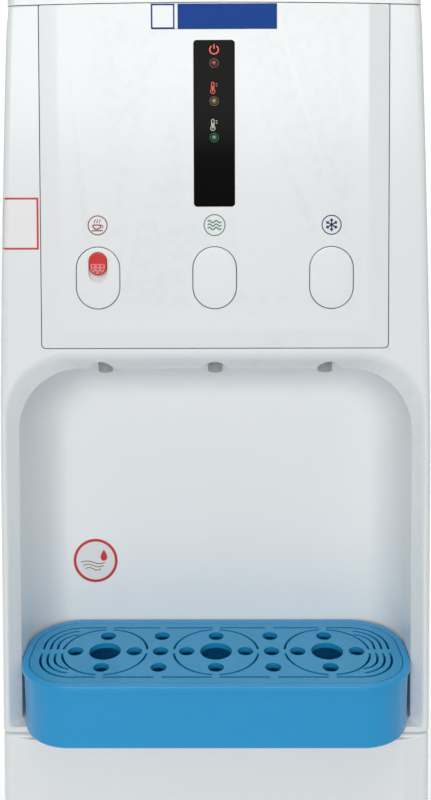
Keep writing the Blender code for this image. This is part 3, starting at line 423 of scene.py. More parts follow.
def build_surface_group() -> bpy.types.NodeTree:
    """Grain height, handling smudges, edge rub and settled dust, shared by every finish."""
    inputs = {"Grain Scale": 900.0, "Wave Scale": 14.0, "Wave Share": 0.3, "Smudge Scale": 9.0}
    colour = "NodeSocketFloat"
    outputs = {"Height": colour, "Smudge": colour, "Edge": colour, "Dust": colour}
    tree = new_group("surface_detail", inputs, outputs)
    bench = NodeBench(tree)
    given = bench.add("NodeGroupInput")
    result = bench.add("NodeGroupOutput")
    place = bench.add("ShaderNodeTexCoord").outputs["Object"]
    grain = bench.noise(place, given.outputs["Grain Scale"], 2.0)
    wave = bench.noise(place, given.outputs["Wave Scale"], 1.0)
    wave = bench.maths("MULTIPLY", wave, given.outputs["Wave Share"])
    bench.wire(bench.maths("ADD", grain, wave), result.inputs["Height"])
    smudge = bench.noise(place, given.outputs["Smudge Scale"], 2.0, 0.4)
    bench.wire(bench.span(smudge, (0.28, 0.74), (0.0, 1.0)), result.inputs["Smudge"])
    geometry = bench.add("ShaderNodeNewGeometry")
    edge = bench.span(geometry.outputs["Pointiness"], (0.515, 0.58), (0.0, 1.0))
    breakup = bench.span(bench.noise(place, 160.0, 3.0), (0.40, 0.62), (0.25, 1.0))
    bench.wire(bench.maths("MULTIPLY", edge, breakup), result.inputs["Edge"])
    split = bench.add("ShaderNodeSeparateXYZ")
    bench.wire(geometry.outputs["Normal"], split.inputs["Vector"])
    upward = bench.span(split.outputs["Z"], (0.55, 0.98), (0.0, 1.0))
    speckle = bench.span(bench.noise(place, 420.0, 4.0, 0.7), (0.50, 0.72), (0.0, 1.0))
    bench.wire(bench.maths("MULTIPLY", upward, speckle), result.inputs["Dust"])
    return tree


# ------------------------------------------------------------------ finishes
@dataclass(frozen=True)
class Finish:
    """One finish: its colour, its gloss, and how strongly each surface detail shows."""

    name: str
    colour: tuple[float, float, float]
    roughness: float
    metallic: float = 0.0
    smudge: float = 0.05
    tone: float = 0.03
    edge: float = 0.10
    dust: float = 0.03
    grain_scale: float = 900.0
    wave_scale: float = 14.0
    wave_share: float = 0.3
    bump: float = 0.00002
    coat: float = 0.0

    def shaded(self, amount: float) -> tuple[float, float, float]:
        """The finish's colour, made lighter or darker by a share."""
        return tuple(min(1.0, max(0.0, channel * (1 + amount))) for channel in self.colour)

    def build(self, detail: bpy.types.NodeTree) -> bpy.types.Material:
        """Make the material.

        Args:
            detail: The shared surface-detail group.

        Returns:
            A material whose colour, roughness and normal vary over the surface.
        """
        material = bpy.data.materials.new(self.name)
        material.use_nodes = True
        bench = NodeBench(material.node_tree)
        shader = material.node_tree.nodes["Principled BSDF"]
        group = bench.add("ShaderNodeGroup", node_tree=detail)
        group.inputs["Grain Scale"].default_value = self.grain_scale
        group.inputs["Wave Scale"].default_value = self.wave_scale
        group.inputs["Wave Share"].default_value = self.wave_share
        tone = bench.mix(group.outputs["Smudge"], self.colour, self.shaded(-self.tone))
        edge = bench.maths("MULTIPLY", group.outputs["Edge"], self.edge)
        colour = bench.mix(edge, tone, self.shaded(0.25 if self.colour[1] < 0.5 else -0.18))
        dusty = bench.maths("MULTIPLY", group.outputs["Dust"], self.dust)
        colour = bench.mix(dusty, colour, (0.60, 0.58, 0.54))
        bench.wire(self.pattern(bench, colour), shader.inputs["Base Color"])
        lift = bench.maths("MULTIPLY", group.outputs["Smudge"], self.smudge)
        lift = bench.maths("ADD", lift, bench.maths("MULTIPLY", group.outputs["Dust"], self.dust * 3))
        bench.wire(bench.maths("ADD", lift, self.roughness), shader.inputs["Roughness"])
        bump = bench.add("ShaderNodeBump")
        bump.inputs["Strength"].default_value = 1.0
        bump.inputs["Distance"].default_value = self.bump
        bench.wire(self.relief(bench, group.outputs["Height"]), bump.inputs["Height"])
        bench.wire(bump.outputs["Normal"], shader.inputs["Normal"])
        shader.inputs["Metallic"].default_value = self.metallic
        shader.inputs["Coat Weight"].default_value = self.coat
        shader.inputs["Coat Roughness"].default_value = 0.06
        self.extra(shader)
        return material

    def pattern(self, bench: NodeBench, colour: bpy.types.NodeSocket) -> bpy.types.NodeSocket:
        """Colour pattern over the plain finish; the plain finish has none."""
        return colour

    def relief(self, bench: NodeBench, height: bpy.types.NodeSocket) -> bpy.types.NodeSocket:
        """Bump height of the finish; the plain finish keeps its grain."""
        return height

    def extra(self, shader: bpy.types.Node) -> None:
        """Constants that only some finishes set."""


@dataclass(frozen=True)
class BrushedFinish(Finish):
    """Metal with fine lines drawn along X."""

    def relief(self, bench: NodeBench, height: bpy.types.NodeSocket) -> bpy.types.NodeSocket:
        """Noise stretched along X, which gives long fine scratches."""
        mapping = bench.add("ShaderNodeMapping")
        mapping.inputs["Scale"].default_value = (18.0, 900.0, 900.0)
        bench.wire(bench.add("ShaderNodeTexCoord").outputs["Object"], mapping.inputs["Vector"])
        return bench.noise(mapping.outputs["Vector"], 1.0, 3.0)


@dataclass(frozen=True)
class FoamFinish(Finish):
    """Rigid insulating foam with an open cell structure."""

    def relief(self, bench: NodeBench, height: bpy.types.NodeSocket) -> bpy.types.NodeSocket:
        """Cells from the distance to scattered points."""
        cells = bench.add("ShaderNodeTexVoronoi")
        cells.inputs["Scale"].default_value = 320.0
        bench.wire(bench.add("ShaderNodeTexCoord").outputs["Object"], cells.inputs["Vector"])
        return cells.outputs["Distance"]


@dataclass(frozen=True)
class BoardFinish(Finish):
    """Circuit board with copper tracks under green lacquer."""

    def pattern(self, bench: NodeBench, colour: bpy.types.NodeSocket) -> bpy.types.NodeSocket:
        """Lighter tracks where a brick pattern's joints run."""
        bricks = bench.add("ShaderNodeTexBrick")
        bricks.inputs["Scale"].default_value = 90.0
        bricks.inputs["Mortar Size"].default_value = 0.04
        place = bench.add("ShaderNodeMapping")
        place.inputs["Rotation"].default_value = (math.radians(90), 0.0, 0.0)
        bench.wire(bench.add("ShaderNodeTexCoord").outputs["Object"], place.inputs["Vector"])
        bench.wire(place.outputs["Vector"], bricks.inputs["Vector"])
        return bench.mix(bricks.outputs["Fac"], colour, (0.10, 0.42, 0.20))


@dataclass(frozen=True)
class MilkyFinish(Finish):
    """Translucent plastic that light soaks into."""

    depth: float = 0.003

    def extra(self, shader: bpy.types.Node) -> None:
        """Let light scatter below the surface."""
        shader.inputs["Subsurface Weight"].default_value = 0.35
        shader.inputs["Subsurface Scale"].default_value = self.depth


@dataclass(frozen=True)
class WindowFinish(Finish):
    """Smoked acrylic with an anti-glare coat."""

    glare: float = 0.04

    def extra(self, shader: bpy.types.Node) -> None:
        """Weaken the mirror reflection."""
        shader.inputs["Specular IOR Level"].default_value = self.glare


@dataclass(frozen=True)
class LampFinish(Finish):
    """Glowing print or lamp."""

    glow: float = 1.0

    def extra(self, shader: bpy.types.Node) -> None:
        """Give off light of the finish's own colour."""
        shader.inputs["Emission Color"].default_value = (*self.colour, 1.0)
        shader.inputs["Emission Strength"].default_value = self.glow


WHITE = (0.80, 0.82, 0.82)
FINISHES: dict[str, Finish] = {
    finish.name: finish
    for finish in (
        Finish(
            "white_moulding", WHITE, 0.16, smudge=0.05, tone=0.015, edge=0.25, wave_share=0.9, bump=0.00003
        ),
        # Brighter copy of the white shell plastic: painted light that lifts the recessed niche pocket, which
        # gets less light, to the brightness of the lit front.
        Finish(
            "white_liner", (0.88, 0.895, 0.89), 0.29,
            smudge=0.06, tone=0.02, edge=0.2, wave_share=1.0, bump=0.00003
        ),
        Finish(
            "white_coating", (0.76, 0.78, 0.78), 0.30,
            grain_scale=520.0, tone=0.02, bump=0.00006, wave_share=0.2
        ),
        Finish(
            "blue_moulding", (0.010, 0.30, 0.62), 0.16,
            smudge=0.05, tone=0.04, edge=0.2, dust=0.0, wave_share=0.8
        ),
        Finish(
            "blue_grille", (0.012, 0.27, 0.52), 0.15,
            smudge=0.05, tone=0.04, edge=0.3, dust=0.0, wave_share=0.6
        ),
        Finish("red_moulding", (0.62, 0.022, 0.018), 0.16, tone=0.06, edge=0.4),
        Finish("grip_rose", (0.66, 0.20, 0.19), 0.34, tone=0.06, edge=0.2),
        Finish("green_moulding", (0.02, 0.30, 0.09), 0.22, tone=0.06, edge=0.4),
        WindowFinish(
            "smoked_window", (0.002, 0.002, 0.002), 0.09,
            smudge=0.03, tone=0.2, edge=0.0, dust=0.0, bump=0.000005
        ),
        WindowFinish("badge_blue", (0.012, 0.058, 0.29), 0.30, tone=0.05, edge=0.0, dust=0.0),
        Finish("badge_white", (0.80, 0.82, 0.83), 0.20, tone=0.02, edge=0.1),
        BoardFinish("circuit_board", (0.02, 0.16, 0.06), 0.38, tone=0.1),
        MilkyFinish("milky_nozzle", (0.44, 0.45, 0.44), 0.29, tone=0.06, edge=0.3),
        Finish("grey_moulding", (0.42, 0.43, 0.43), 0.36, tone=0.06, edge=0.3),
        Finish(
            "black_moulding", (0.022, 0.022, 0.024), 0.40,
            tone=0.2, edge=0.5, grain_scale=1500.0, bump=0.00008
        ),
        BrushedFinish(
            "brushed_stainless", (0.56, 0.56, 0.55), 0.28, metallic=1.0, tone=0.08, edge=0.3, bump=0.00002
        ),
        Finish("spring_wire", (0.42, 0.42, 0.43), 0.30, metallic=1.0, tone=0.15, edge=0.2),
        BrushedFinish(
            "copper_tube", (0.68, 0.31, 0.18), 0.30, metallic=1.0, tone=0.25, smudge=0.2, bump=0.00002
        ),
        Finish("black_paint", (0.018, 0.018, 0.019), 0.38, tone=0.3, edge=0.6, dust=0.18, bump=0.00008),
        FoamFinish("cream_foam", (0.74, 0.70, 0.56), 0.90, tone=0.12, edge=0.1, bump=0.0005),
        MilkyFinish("silicone_hose", (0.66, 0.67, 0.65), 0.38, tone=0.06, edge=0.0),
        Finish("grey_gasket", (0.42, 0.43, 0.44), 0.62, tone=0.10, dust=0.08, bump=0.0001),
        Finish("black_rubber", (0.022, 0.022, 0.022), 0.78, tone=0.25, edge=0.5, dust=0.22, bump=0.00015),
        Finish("hot_print", (0.28, 0.055, 0.045), 0.42, tone=0.12, edge=0.0, bump=0.00001),
        Finish("normal_print", (0.10, 0.24, 0.18), 0.42, tone=0.12, edge=0.0, bump=0.00001),
        Finish("cold_print", (0.025, 0.04, 0.16), 0.42, tone=0.12, edge=0.0, bump=0.00001),
        Finish("red_print", (0.62, 0.035, 0.03), 0.40, tone=0.08, edge=0.0, bump=0.00001),
        Finish("blank_label", (0.80, 0.80, 0.79), 0.34, tone=0.02, edge=0.0, bump=0.00001),
        LampFinish("red_glow", (0.80, 0.055, 0.045), 0.30, dust=0.0, glow=0.25),
        LampFinish("amber_glow", (0.75, 0.50, 0.16), 0.30, dust=0.0, glow=0.3),
        LampFinish("green_glow", (0.25, 0.70, 0.42), 0.30, dust=0.0, glow=0.3),
        LampFinish("pale_glow", (0.62, 0.64, 0.50), 0.30, dust=0.0, glow=0.1),
        Finish("red_lens", (0.17, 0.012, 0.012), 0.20, dust=0.0),
        Finish("amber_lens", (0.16, 0.10, 0.03), 0.20, dust=0.0),
        Finish("green_lens", (0.008, 0.13, 0.055), 0.20, dust=0.0),
        Finish("floor_paint", (0.70, 0.71, 0.72), 0.55, tone=0.04, edge=0.0, bump=0.0002),
    )
}

SLOT_FINISHES: dict[str, str] = {
    "white_shell": "white_moulding",
    "white_paint": "white_coating",
    "blue_plastic": "blue_moulding",
    "red_plastic": "red_moulding",
    "green_plastic": "green_moulding",
    "black_plastic": "black_moulding",
    "black_gloss": "smoked_window",
    "badge_blue": "badge_blue",
    "board_green": "circuit_board",
    "clear_nozzle": "milky_nozzle",
    "tap_plastic": "grey_moulding",
    "stainless": "brushed_stainless",
    "spring_steel": "spring_wire",
    "copper": "copper_tube",
    "black_steel": "black_paint",
    "foam": "cream_foam",
    "hose": "silicone_hose",
    "gasket": "grey_gasket",
    "rubber": "black_rubber",
}


@dataclass
class Workshop:
    """Materials and the steps that every new piece goes through."""

    materials: dict[str, bpy.types.Material] = field(default_factory=dict)
    made: list[str] = field(default_factory=list)

    def prepare(self) -> None:
        """Build every finish once."""
        detail = build_surface_group()
        self.materials = {name: finish.build(detail) for name, finish in FINISHES.items()}

    def settle(self, obj: bpy.types.Object) -> None:
        """Put the result of an object's modifiers into its mesh."""
        bpy.context.view_layer.update()
        graph = bpy.context.evaluated_depsgraph_get()
        mesh = bpy.data.meshes.new_from_object(obj.evaluated_get(graph))
        obj.modifiers.clear()
        obj.data = mesh

    def carve(self, obj: bpy.types.Object, cutter: Solid) -> None:
        """Take a solid away from an object."""
        tool = cutter.mesh_object("carving_tool")
        boolean = obj.modifiers.new("carve", "BOOLEAN")
        boolean.operation = "DIFFERENCE"
        boolean.solver = "EXACT"
        boolean.object = tool
        self.settle(obj)
        bpy.data.objects.remove(tool, do_unlink=True)

    def soften(self, obj: bpy.types.Object, width: float, segments: int = 2, angle: float = 40.0) -> None:
        """Round the edges of an object that are sharper than an angle."""
        bevel = obj.modifiers.new("soft_edges", "BEVEL")
        bevel.width = width
        bevel.segments = segments
        bevel.limit_method = "ANGLE"
        bevel.angle_limit = math.radians(angle)
        self.settle(obj)

    def place(
        self,
        obj: bpy.types.Object,
        finish: str,
        body: str,
        slot: str,
        replaced: tuple[str, ...] = (),
    ) -> bpy.types.Object:
        """Finish a piece, and tie it to its body.

        Args:
            obj: The new piece.
            finish: Name of its finish.
            body: The CAD body it moves with.
            slot: The record's material slot; not used.
            replaced: CAD nodes that it stands for.

        Returns:
            The same object.
        """
        obj.data.materials.clear()
        obj.data.materials.append(self.materials[finish])
        obj.data.shade_smooth()
        obj.data.set_sharp_from_angle(angle=SMOOTH_ANGLE)
        weighted = obj.modifiers.new("even_shading", "WEIGHTED_NORMAL")
        weighted.keep_sharp = True
        weighted.weight = 80
        self.settle(obj)
        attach(obj, body)
        if replaced:
            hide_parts(*replaced)
        self.made.append(obj.name)
        LOG.info("%s rides on %s in %s", obj.name, body, finish)
        return obj

    def dress_nodes(self) -> None:
        """Give every CAD node the procedural finish of its slot."""
        for part in frame["record"]["subparts"]:
            node = frame["nodes"][part["node"]]
            finish = SLOT_FINISHES[part["material_slot"]]
            node.data.materials.clear()
            node.data.materials.append(self.materials[finish])
            LOG.info("%s keeps its shape in %s", node.name, finish)


# ------------------------------------------------------------------ front casing
@dataclass
class Mouth:
    """The arched opening that leads from the fascia into the niche."""

    lip_half: float = 0.1555
    lip_top: float = 0.7057
    half: float = 0.155
    top: float = 0.7022
    radius: float = 0.046
    crease_half: float = 0.1466
    crease_top: float = 0.6914
    crease_radius: float = 0.047
    crease_depth: float = 0.012
    steps: int = 28
    between: int = 24

    def outline(self, half: float, top: float, radius: float, low: float = NICHE_FLOOR_Z) -> Grid:
        """Arch outline (x, z) with nearly square lower corners."""
        return rounded_outline((-half, low), (half, top), 0.003, radius, self.steps, self.between)

    def lip_reach(self, z: Grid) -> Grid:
        """Half width of the lip at a height: straight up to its corner arc, then on the circle."""
        radius = self.radius + 0.0015
        middle = self.lip_top - radius
        rise = np.clip((z - middle) / radius, 0.0, 1.0)
        arc = self.lip_half - radius + radius * np.sqrt(1 - rise**2)
        return np.where(z < self.lip_top, arc, 0.0)


@dataclass
class Fascia:
    """One-piece front moulding: rounded sides, flat front and a soft-lipped arch."""

    mouth: Mouth = field(default_factory=Mouth)
    front: float = 0.002
    wall: float = 0.0026
    back: float = 0.042
    corner: float = 0.006
    end_corner: float = 0.0016
    panel_half: float = 0.12735
    panel_low: float = 0.70755

    def surround(self, side_inset: float, end_inset: float) -> Grid:
        """Outer outline matched point by point to the arch inside it.

        Beside the arch's straight sides a point keeps its height, over its crown it keeps its
        x, and round its corners it runs up the side and in along the top.
        """
        arch = self.mouth.outline(self.mouth.lip_half, self.mouth.lip_top, self.mouth.radius + 0.0015)
        steps, between = self.mouth.steps, self.mouth.between
        block = steps + 1 + between
        bottom = FASCIA_BOTTOM_Z + end_inset
        high = TOP_EDGE_Z - end_inset
        along = np.linspace(0, 1, steps + 1)
        spring_z = arch[block, 1]
        crown_x = arch[block + steps, 0]
        rise = spring_z + (high - spring_z) * np.minimum(1.0, along / 0.6)
        inward = np.clip((along - 0.6) / 0.4, 0.0, 1.0)
        side_x = half_width(rise) - side_inset
        corner_x = side_x + (crown_x - side_x) * inward
        corner_z = np.where(
            inward > 0, top_edge(corner_x) - end_inset, np.minimum(rise, top_edge(corner_x) - end_inset)
        )
        points = arch.copy()
        side = slice(steps + 1, block)
        points[side, 0] = half_width(arch[side, 1]) - side_inset
        points[block : block + steps + 1] = np.stack([corner_x, corner_z], axis=-1)
        crown = slice(block + steps + 1, 2 * block)
        points[crown, 1] = top_edge(arch[crown, 0]) - end_inset
        points[2 * block : 2 * block + steps + 1] = np.stack([-corner_x[::-1], corner_z[::-1]], axis=-1)
        side = slice(2 * block + steps + 1, 3 * block)
        points[side, 0] = -(half_width(arch[side, 1]) - side_inset)
        reach = half_width(bottom) - side_inset
        points[0 : steps + 1] = np.stack(
            [
                crown_x + (reach - crown_x) * np.minimum(1.0, along * 2),
                bottom + (arch[steps, 1] - bottom) * np.clip(along * 2 - 1, 0, 1)
            ],
            axis=-1,
        )
        points[3 * block : 3 * block + steps + 1] = points[0 : steps + 1][::-1] * np.array([-1.0, 1.0])
        low = slice(3 * block + steps + 1, 4 * block)
        points[low, 0] = np.linspace(-crown_x, crown_x, between + 2)[1:-1]
        points[low, 1] = bottom
        return points

    def face_depth(self, outline: Grid) -> Grid:
        """Depth of the moulding's face, which rolls back on a circle near its outer edges."""
        x, z = np.abs(outline[:, 0]), outline[:, 1]
        over = np.clip(x - (half_width(z) - self.corner), 0.0, self.corner)
        side = self.corner - np.sqrt(self.corner**2 - over**2)
        past = np.maximum(z - (top_edge(x) - self.end_corner), FASCIA_BOTTOM_Z + self.end_corner - z)
        past = np.clip(past, 0.0, self.end_corner)
        end = self.end_corner - np.sqrt(self.end_corner**2 - past**2)
        return self.front + side + end

    def clear_of_lip(self, outline: Grid) -> Grid:
        """Keep an outer outline from crossing the arch's lip."""
        least = self.mouth.lip_reach(outline[:, 1]) + 0.00012
        reach = np.maximum(np.abs(outline[:, 0]), np.where(outline[:, 1] > NICHE_FLOOR_Z, least, 0.0))
        return np.stack([np.sign(outline[:, 0]) * reach, outline[:, 1]], axis=-1)

    def build(self, shop: Workshop) -> None:
        """Make the moulding with its panel seat and nozzle slots."""
        mouth = self.mouth
        rings = [rings_at_depth(self.surround(0.0, 0.0)[None], [self.back])[0]]
        _, side = quarter(7)
        _, end = quarter(7)
        for side_share, end_share in zip(side, end):
            outline = self.surround(self.corner * side_share, self.end_corner * end_share)
            outline = self.clear_of_lip(outline)
            rings.append(in_frame(outline[:, 0], self.face_depth(outline), outline[:, 1]))
        lip = mouth.outline(mouth.lip_half, mouth.lip_top, mouth.radius + 0.0015)
        lip_depth = self.face_depth(lip)
        band = mouth.outline(
            mouth.half + 0.4 * (mouth.crease_half - mouth.half),
            mouth.top + 0.4 * (mouth.crease_top - mouth.top),
            mouth.radius,
        )
        pull = mouth.outline(mouth.half - 0.0008, mouth.top, mouth.radius)
        for t in np.linspace(0, 1, 8):
            outline = (1 - t) ** 2 * lip + 2 * t * (1 - t) * pull + t**2 * band
            depth = (1 - t) ** 2 * lip_depth + 2 * t * (1 - t) * self.front + t**2 * 0.006
            rings.append(in_frame(outline[:, 0], depth, outline[:, 1]))
        crease = mouth.outline(mouth.crease_half, mouth.crease_top, mouth.crease_radius)
        rings.append(rings_at_depth(crease[None], [mouth.crease_depth])[0])
        behind = mouth.outline(
            mouth.crease_half + 0.0022, mouth.crease_top + 0.0022,
            mouth.crease_radius + 0.002, NICHE_FLOOR_Z - 0.001
        )
        rings.append(rings_at_depth(behind[None], [mouth.crease_depth])[0])
        shelf = mouth.outline(
            mouth.half + 0.0010, mouth.top + 0.003, mouth.radius + 0.002, NICHE_FLOOR_Z - 0.001
        )
        rings.append(rings_at_depth(shelf[None], [self.front + self.wall + 0.001])[0])
        inner = self.surround(self.wall, self.wall)
        inner_depth = np.full(len(inner), self.front + self.wall + 0.001)
        rings.append(in_frame(inner[:, 0], inner_depth, inner[:, 1]))
        rings.append(in_frame(inner[:, 0], self.back, inner[:, 1]))
        obj = Solid().skin(np.array(rings), Ends.JOINED).mesh_object("front_moulding")
        seat = rounded_outline((-self.panel_half, self.panel_low), (self.panel_half, 0.990), 0.0033, 0.0033)
        shop.carve(obj, Solid().skin(rings_at_depth(np.stack([seat, seat]), [-0.006, 0.0155])))
        shop.carve(obj, nozzle_slots())
        shop.soften(obj, 0.0005, 3, 50.0)
        shop.place(obj, "white_moulding", "cabinet", "white_shell", ("front_fascia",))


def nozzle_slots() -> Solid:
    """Prisms of the three slots in the niche's ceiling that the nozzles hang in."""
    slots = Solid()
    for tap in Tap:
        outline = rounded_outline(
            (tap.value - SLOT_RADIUS, 0.007),
            (tap.value + SLOT_RADIUS, 0.0528), SLOT_RADIUS, SLOT_RADIUS, 14, 4
        )
        slots.skin(rings_at_height(np.stack([outline, outline]), [0.680, 0.7012]))
    return slots


@dataclass
class NicheLiner:
    """Deep white pocket behind the arch, with wide fillets to its back wall."""

    mouth: Mouth = field(default_factory=Mouth)
    back: float = 0.073
    top_fillet: float = 0.037
    side_fillet: float = 0.026
    wall: float = 0.0022

    def ring(self, sine: float, inward: float, grow: float) -> Grid:
        """One ring of the pocket at a stage of its fillet, grown by a wall."""
        outline = self.mouth.outline(
            self.mouth.crease_half - self.side_fillet * inward + grow,
            self.mouth.crease_top - 0.0006 - self.top_fillet * inward + grow,
            self.mouth.crease_radius - 0.015 * inward + grow,
            NICHE_FLOOR_Z - grow,
        )
        depth = self.back - self.top_fillet + self.top_fillet * sine + grow * sine
        return rings_at_depth(outline[None], [depth])[0]

    def build(self, shop: Workshop) -> None:
        """Skin the inside and the outside as one closed shell."""
        front = self.mouth.crease_depth + 0.0003
        sines, inwards = quarter(20)
        shell = []
        for grow in (self.wall, 0.0):
            start = self.mouth.outline(
                self.mouth.crease_half + grow,
                self.mouth.crease_top - 0.0003 + grow,
                self.mouth.crease_radius + grow,
                NICHE_FLOOR_Z - grow,
            )
            rings = [rings_at_depth(start[None], [front])[0]]
            rings += [self.ring(s, i, grow) for s, i in zip(sines, inwards)]
            shell.append(rings if grow == 0.0 else rings[::-1])
        obj = Solid().skin(np.array(shell[0] + shell[1])).mesh_object("niche_pocket")
        shop.carve(obj, nozzle_slots())
        # The pocket takes the brightened white, painted light for the shaded niche.
        shop.place(obj, "white_liner", "cabinet", "white_shell", ("niche_liner",))


# ------------------------------------------------------------------ control panel
@dataclass
class ControlPanel:
    """Raised control panel with bevelled borders, three button wells and a display."""

    half: float = 0.1268
    low: float = 0.7081
    rim_depth: float = 0.002
    back: float = 0.005
    plateau_half: float = 0.1125
    plateau_low: float = 0.722
    edge: float = 0.0005

    def arched(self, half: float, low: float, drop: float = 0.0) -> Grid:
        """Rounded outline whose upper part is bent along the cabinet's arched top."""
        outline = rounded_outline((-half, low), (half, TOP_EDGE_Z), 0.003, 0.001, 8, 14)
        share = (outline[:, 1] - low) / (TOP_EDGE_Z - low)
        outline[:, 1] += (top_edge(outline[:, 0]) - 0.0002 - drop - TOP_EDGE_Z) * share
        return outline

    def build(self, shop: Workshop) -> None:
        """Loft the panel, then open its wells."""
        rows = [(self.half, self.low, 0.0, self.back), (self.half, self.low, 0.0, self.rim_depth + self.edge)]
        sines, inwards = quarter(4)
        for sine, inward in zip(sines[1:], inwards[1:]):
            shrink = self.edge * inward
            rows.append(
                (self.half - shrink, self.low + shrink, shrink, self.rim_depth + self.edge * (1 - sine))
            )
        blend = 0.0016
        slope = np.array([self.half - self.plateau_half, self.plateau_low - self.low])
        for t in np.linspace(0, 1, 7):
            back_share = blend * (1 - t) ** 2 / slope[0]
            on_share = -blend * t**2 / slope[0]
            share = back_share + on_share
            half = self.plateau_half + slope[0] * share
            low = self.plateau_low - slope[1] * share
            depth = self.rim_depth * (1 - t) ** 2 * blend / slope[0]
            rows.append((half, low, 0.0006, depth))
        rings = [rings_at_depth(self.arched(h, l, d)[None], [depth])[0] for h, l, d, depth in rows]
        obj = Solid().skin(np.array(rings)).mesh_object("control_fascia")
        wells = Solid()
        for tap in Tap:
            outline = stadium(tap.value, BUTTON_Z - 0.02305, BUTTON_Z + 0.02305, 0.01625)
            wells.skin(rings_at_depth(np.stack([outline, outline]), [-0.005, 0.010]))
        window = rounded_outline((-0.015, 0.8118), (0.015, 0.9322), 0.0026, 0.0026)
        wells.skin(rings_at_depth(np.stack([window, window]), [-0.005, 0.010]))
        badge = rounded_outline((-0.0456, 0.9399), (0.0456, 0.9583), 0.0004, 0.0004, 3)
        wells.skin(rings_at_depth(np.stack([badge, badge]), [-0.005, 0.0009]))
        shop.carve(obj, wells)
        shop.soften(obj, 0.00035, 2, 60.0)
        shop.place(obj, "white_moulding", "cabinet", "white_shell", ("control_panel",))


@dataclass
class PushButton:
    """Upright stadium button with a rounded rim and a slightly crowned face."""

    tap: Tap
    half: float = 0.0157
    half_height: float = 0.0225
    back: float = 0.009
    proud: float = 0.0006
    rim: float = 0.0009

    def ring(self, inset: float, depth: float) -> Grid:
        """The button's outline pulled in by an inset, at a depth."""
        outline = stadium(
            self.tap.value,
            BUTTON_Z - self.half_height + inset,
            BUTTON_Z + self.half_height - inset,
            self.half - inset,
        )
        return rings_at_depth(outline[None], [depth])[0]

    def build(self, shop: Workshop) -> None:
        """Loft the button, open the lock's pocket in the hot one and add its post."""
        sines, inwards = quarter(6)
        rings = [self.ring(0.0, self.back)]
        for sine, inward in zip(sines, inwards):
            rings.append(self.ring(self.rim * inward, self.rim * (1 - sine) - self.proud + 0.00025))
        crown = np.linspace(self.rim, self.half * 0.93, 7)[1:]
        for inset in crown:
            share = (inset - self.rim) / (self.half - self.rim)
            rings.append(self.ring(inset, -self.proud + 0.00025 * (1 - share) ** 2))
        obj = Solid().skin(np.array(rings)).mesh_object(f"{self.tap.label}_push_button")
        if self.tap is Tap.HOT:
            pocket = stadium(self.tap.value, LOCK_TOP_Z - 0.0219, LOCK_TOP_Z + 0.0003, 0.0069)
            shop.carve(obj, Solid().skin(rings_at_depth(np.stack([pocket, pocket]), [-0.005, 0.0026])))
            shop.soften(obj, 0.0003, 2, 60.0)
        body = f"{self.tap.label}_button"
        shop.place(obj, "white_moulding", body, "white_shell", (body,))
        self.build_post(shop, body)

    def build_post(self, shop: Workshop, body: str) -> None:
        """Plunger behind the button: a stepped rod with a rounded nib."""
        profile = np.array(
            [[0.005, 0.0089], [0.005, 0.0192], [0.0046, 0.0199],
            [0.002, 0.0200], [0.002, 0.0242], [0.0015, 0.0247]]
        )
        turn = np.linspace(0, 2 * math.pi, 32, endpoint=False)
        radius, depth = profile[:, 0:1], profile[:, 1:2]
        rings = in_frame(self.tap.value + radius * np.cos(turn), depth, BUTTON_Z + radius * np.sin(turn))
        obj = Solid().skin(rings).mesh_object(f"{self.tap.label}_plunger")
        shop.place(obj, "white_moulding", body, "white_shell")


@dataclass
class ChildLock:
    """Red sliding catch: a smooth glossy upper half over a dotted thumb grip."""

    half: float = 0.0067
    height: float = 0.0169
    face: float = -0.0016
    back: float = 0.0023

    def build(self, shop: Workshop) -> None:
        """Loft the catch, add its grip dots and the paler grip pad."""
        x, low = Tap.HOT.value, LOCK_TOP_Z - self.height
        sines, inwards = quarter(5)
        rounding = 0.0009
        rings = [self.ring(x, low, 0.0, self.back)]
        for sine, inward in zip(sines, inwards):
            rings.append(self.ring(x, low, rounding * inward, self.face + rounding * (1 - sine)))
        obj = Solid().skin(np.array(rings)).mesh_object("child_lock_slider")
        shop.place(obj, "red_moulding", "child_lock", "red_plastic", ("child_lock",))
        pad = rounded_outline((x - 0.0052, low + 0.0014), (x + 0.0052, low + 0.0086), 0.0046, 0.0006)
        rings = rings_at_depth(np.stack([pad, pad]), [self.face + 0.0002, self.face - 0.00012])
        piece = Solid().skin(rings).mesh_object("child_lock_grip_pad")
        shop.place(piece, "grip_rose", "child_lock", "red_plastic")
        shop.place(
            self.dots(x, low).mesh_object("child_lock_grip_dots"),
            "red_moulding", "child_lock", "red_plastic"
        )

    def ring(self, x: float, low: float, inset: float, depth: float) -> Grid:
        """The catch's outline pulled in by an inset, at a depth."""
        outline = stadium(x, low + inset, LOCK_TOP_Z - inset, self.half - inset)
        return rings_at_depth(outline[None], [depth])[0]

    def dots(self, x: float, low: float) -> Solid:
        """Low domes: radius r cos t and height h sin t over a quarter turn."""
        dots = Solid()
        turn = np.linspace(0, 2 * math.pi, 14, endpoint=False)
        rise = np.radians(np.linspace(0, 82, 5))[:, None]
        for row, places in enumerate(((-0.0018, 0.0018), (-0.0034, 0.0, 0.0034), (-0.0034, 0.0, 0.0034))):
            for across in places:
                radius = 0.0008 * np.cos(rise)
                depth = self.face - 0.0001 - 0.00035 * np.sin(rise)
                centre_z = low + 0.0026 + 0.0023 * row
                dots.skin(
                    in_frame(x + across + radius * np.cos(turn), depth, centre_z + radius * np.sin(turn))
                )
        return dots


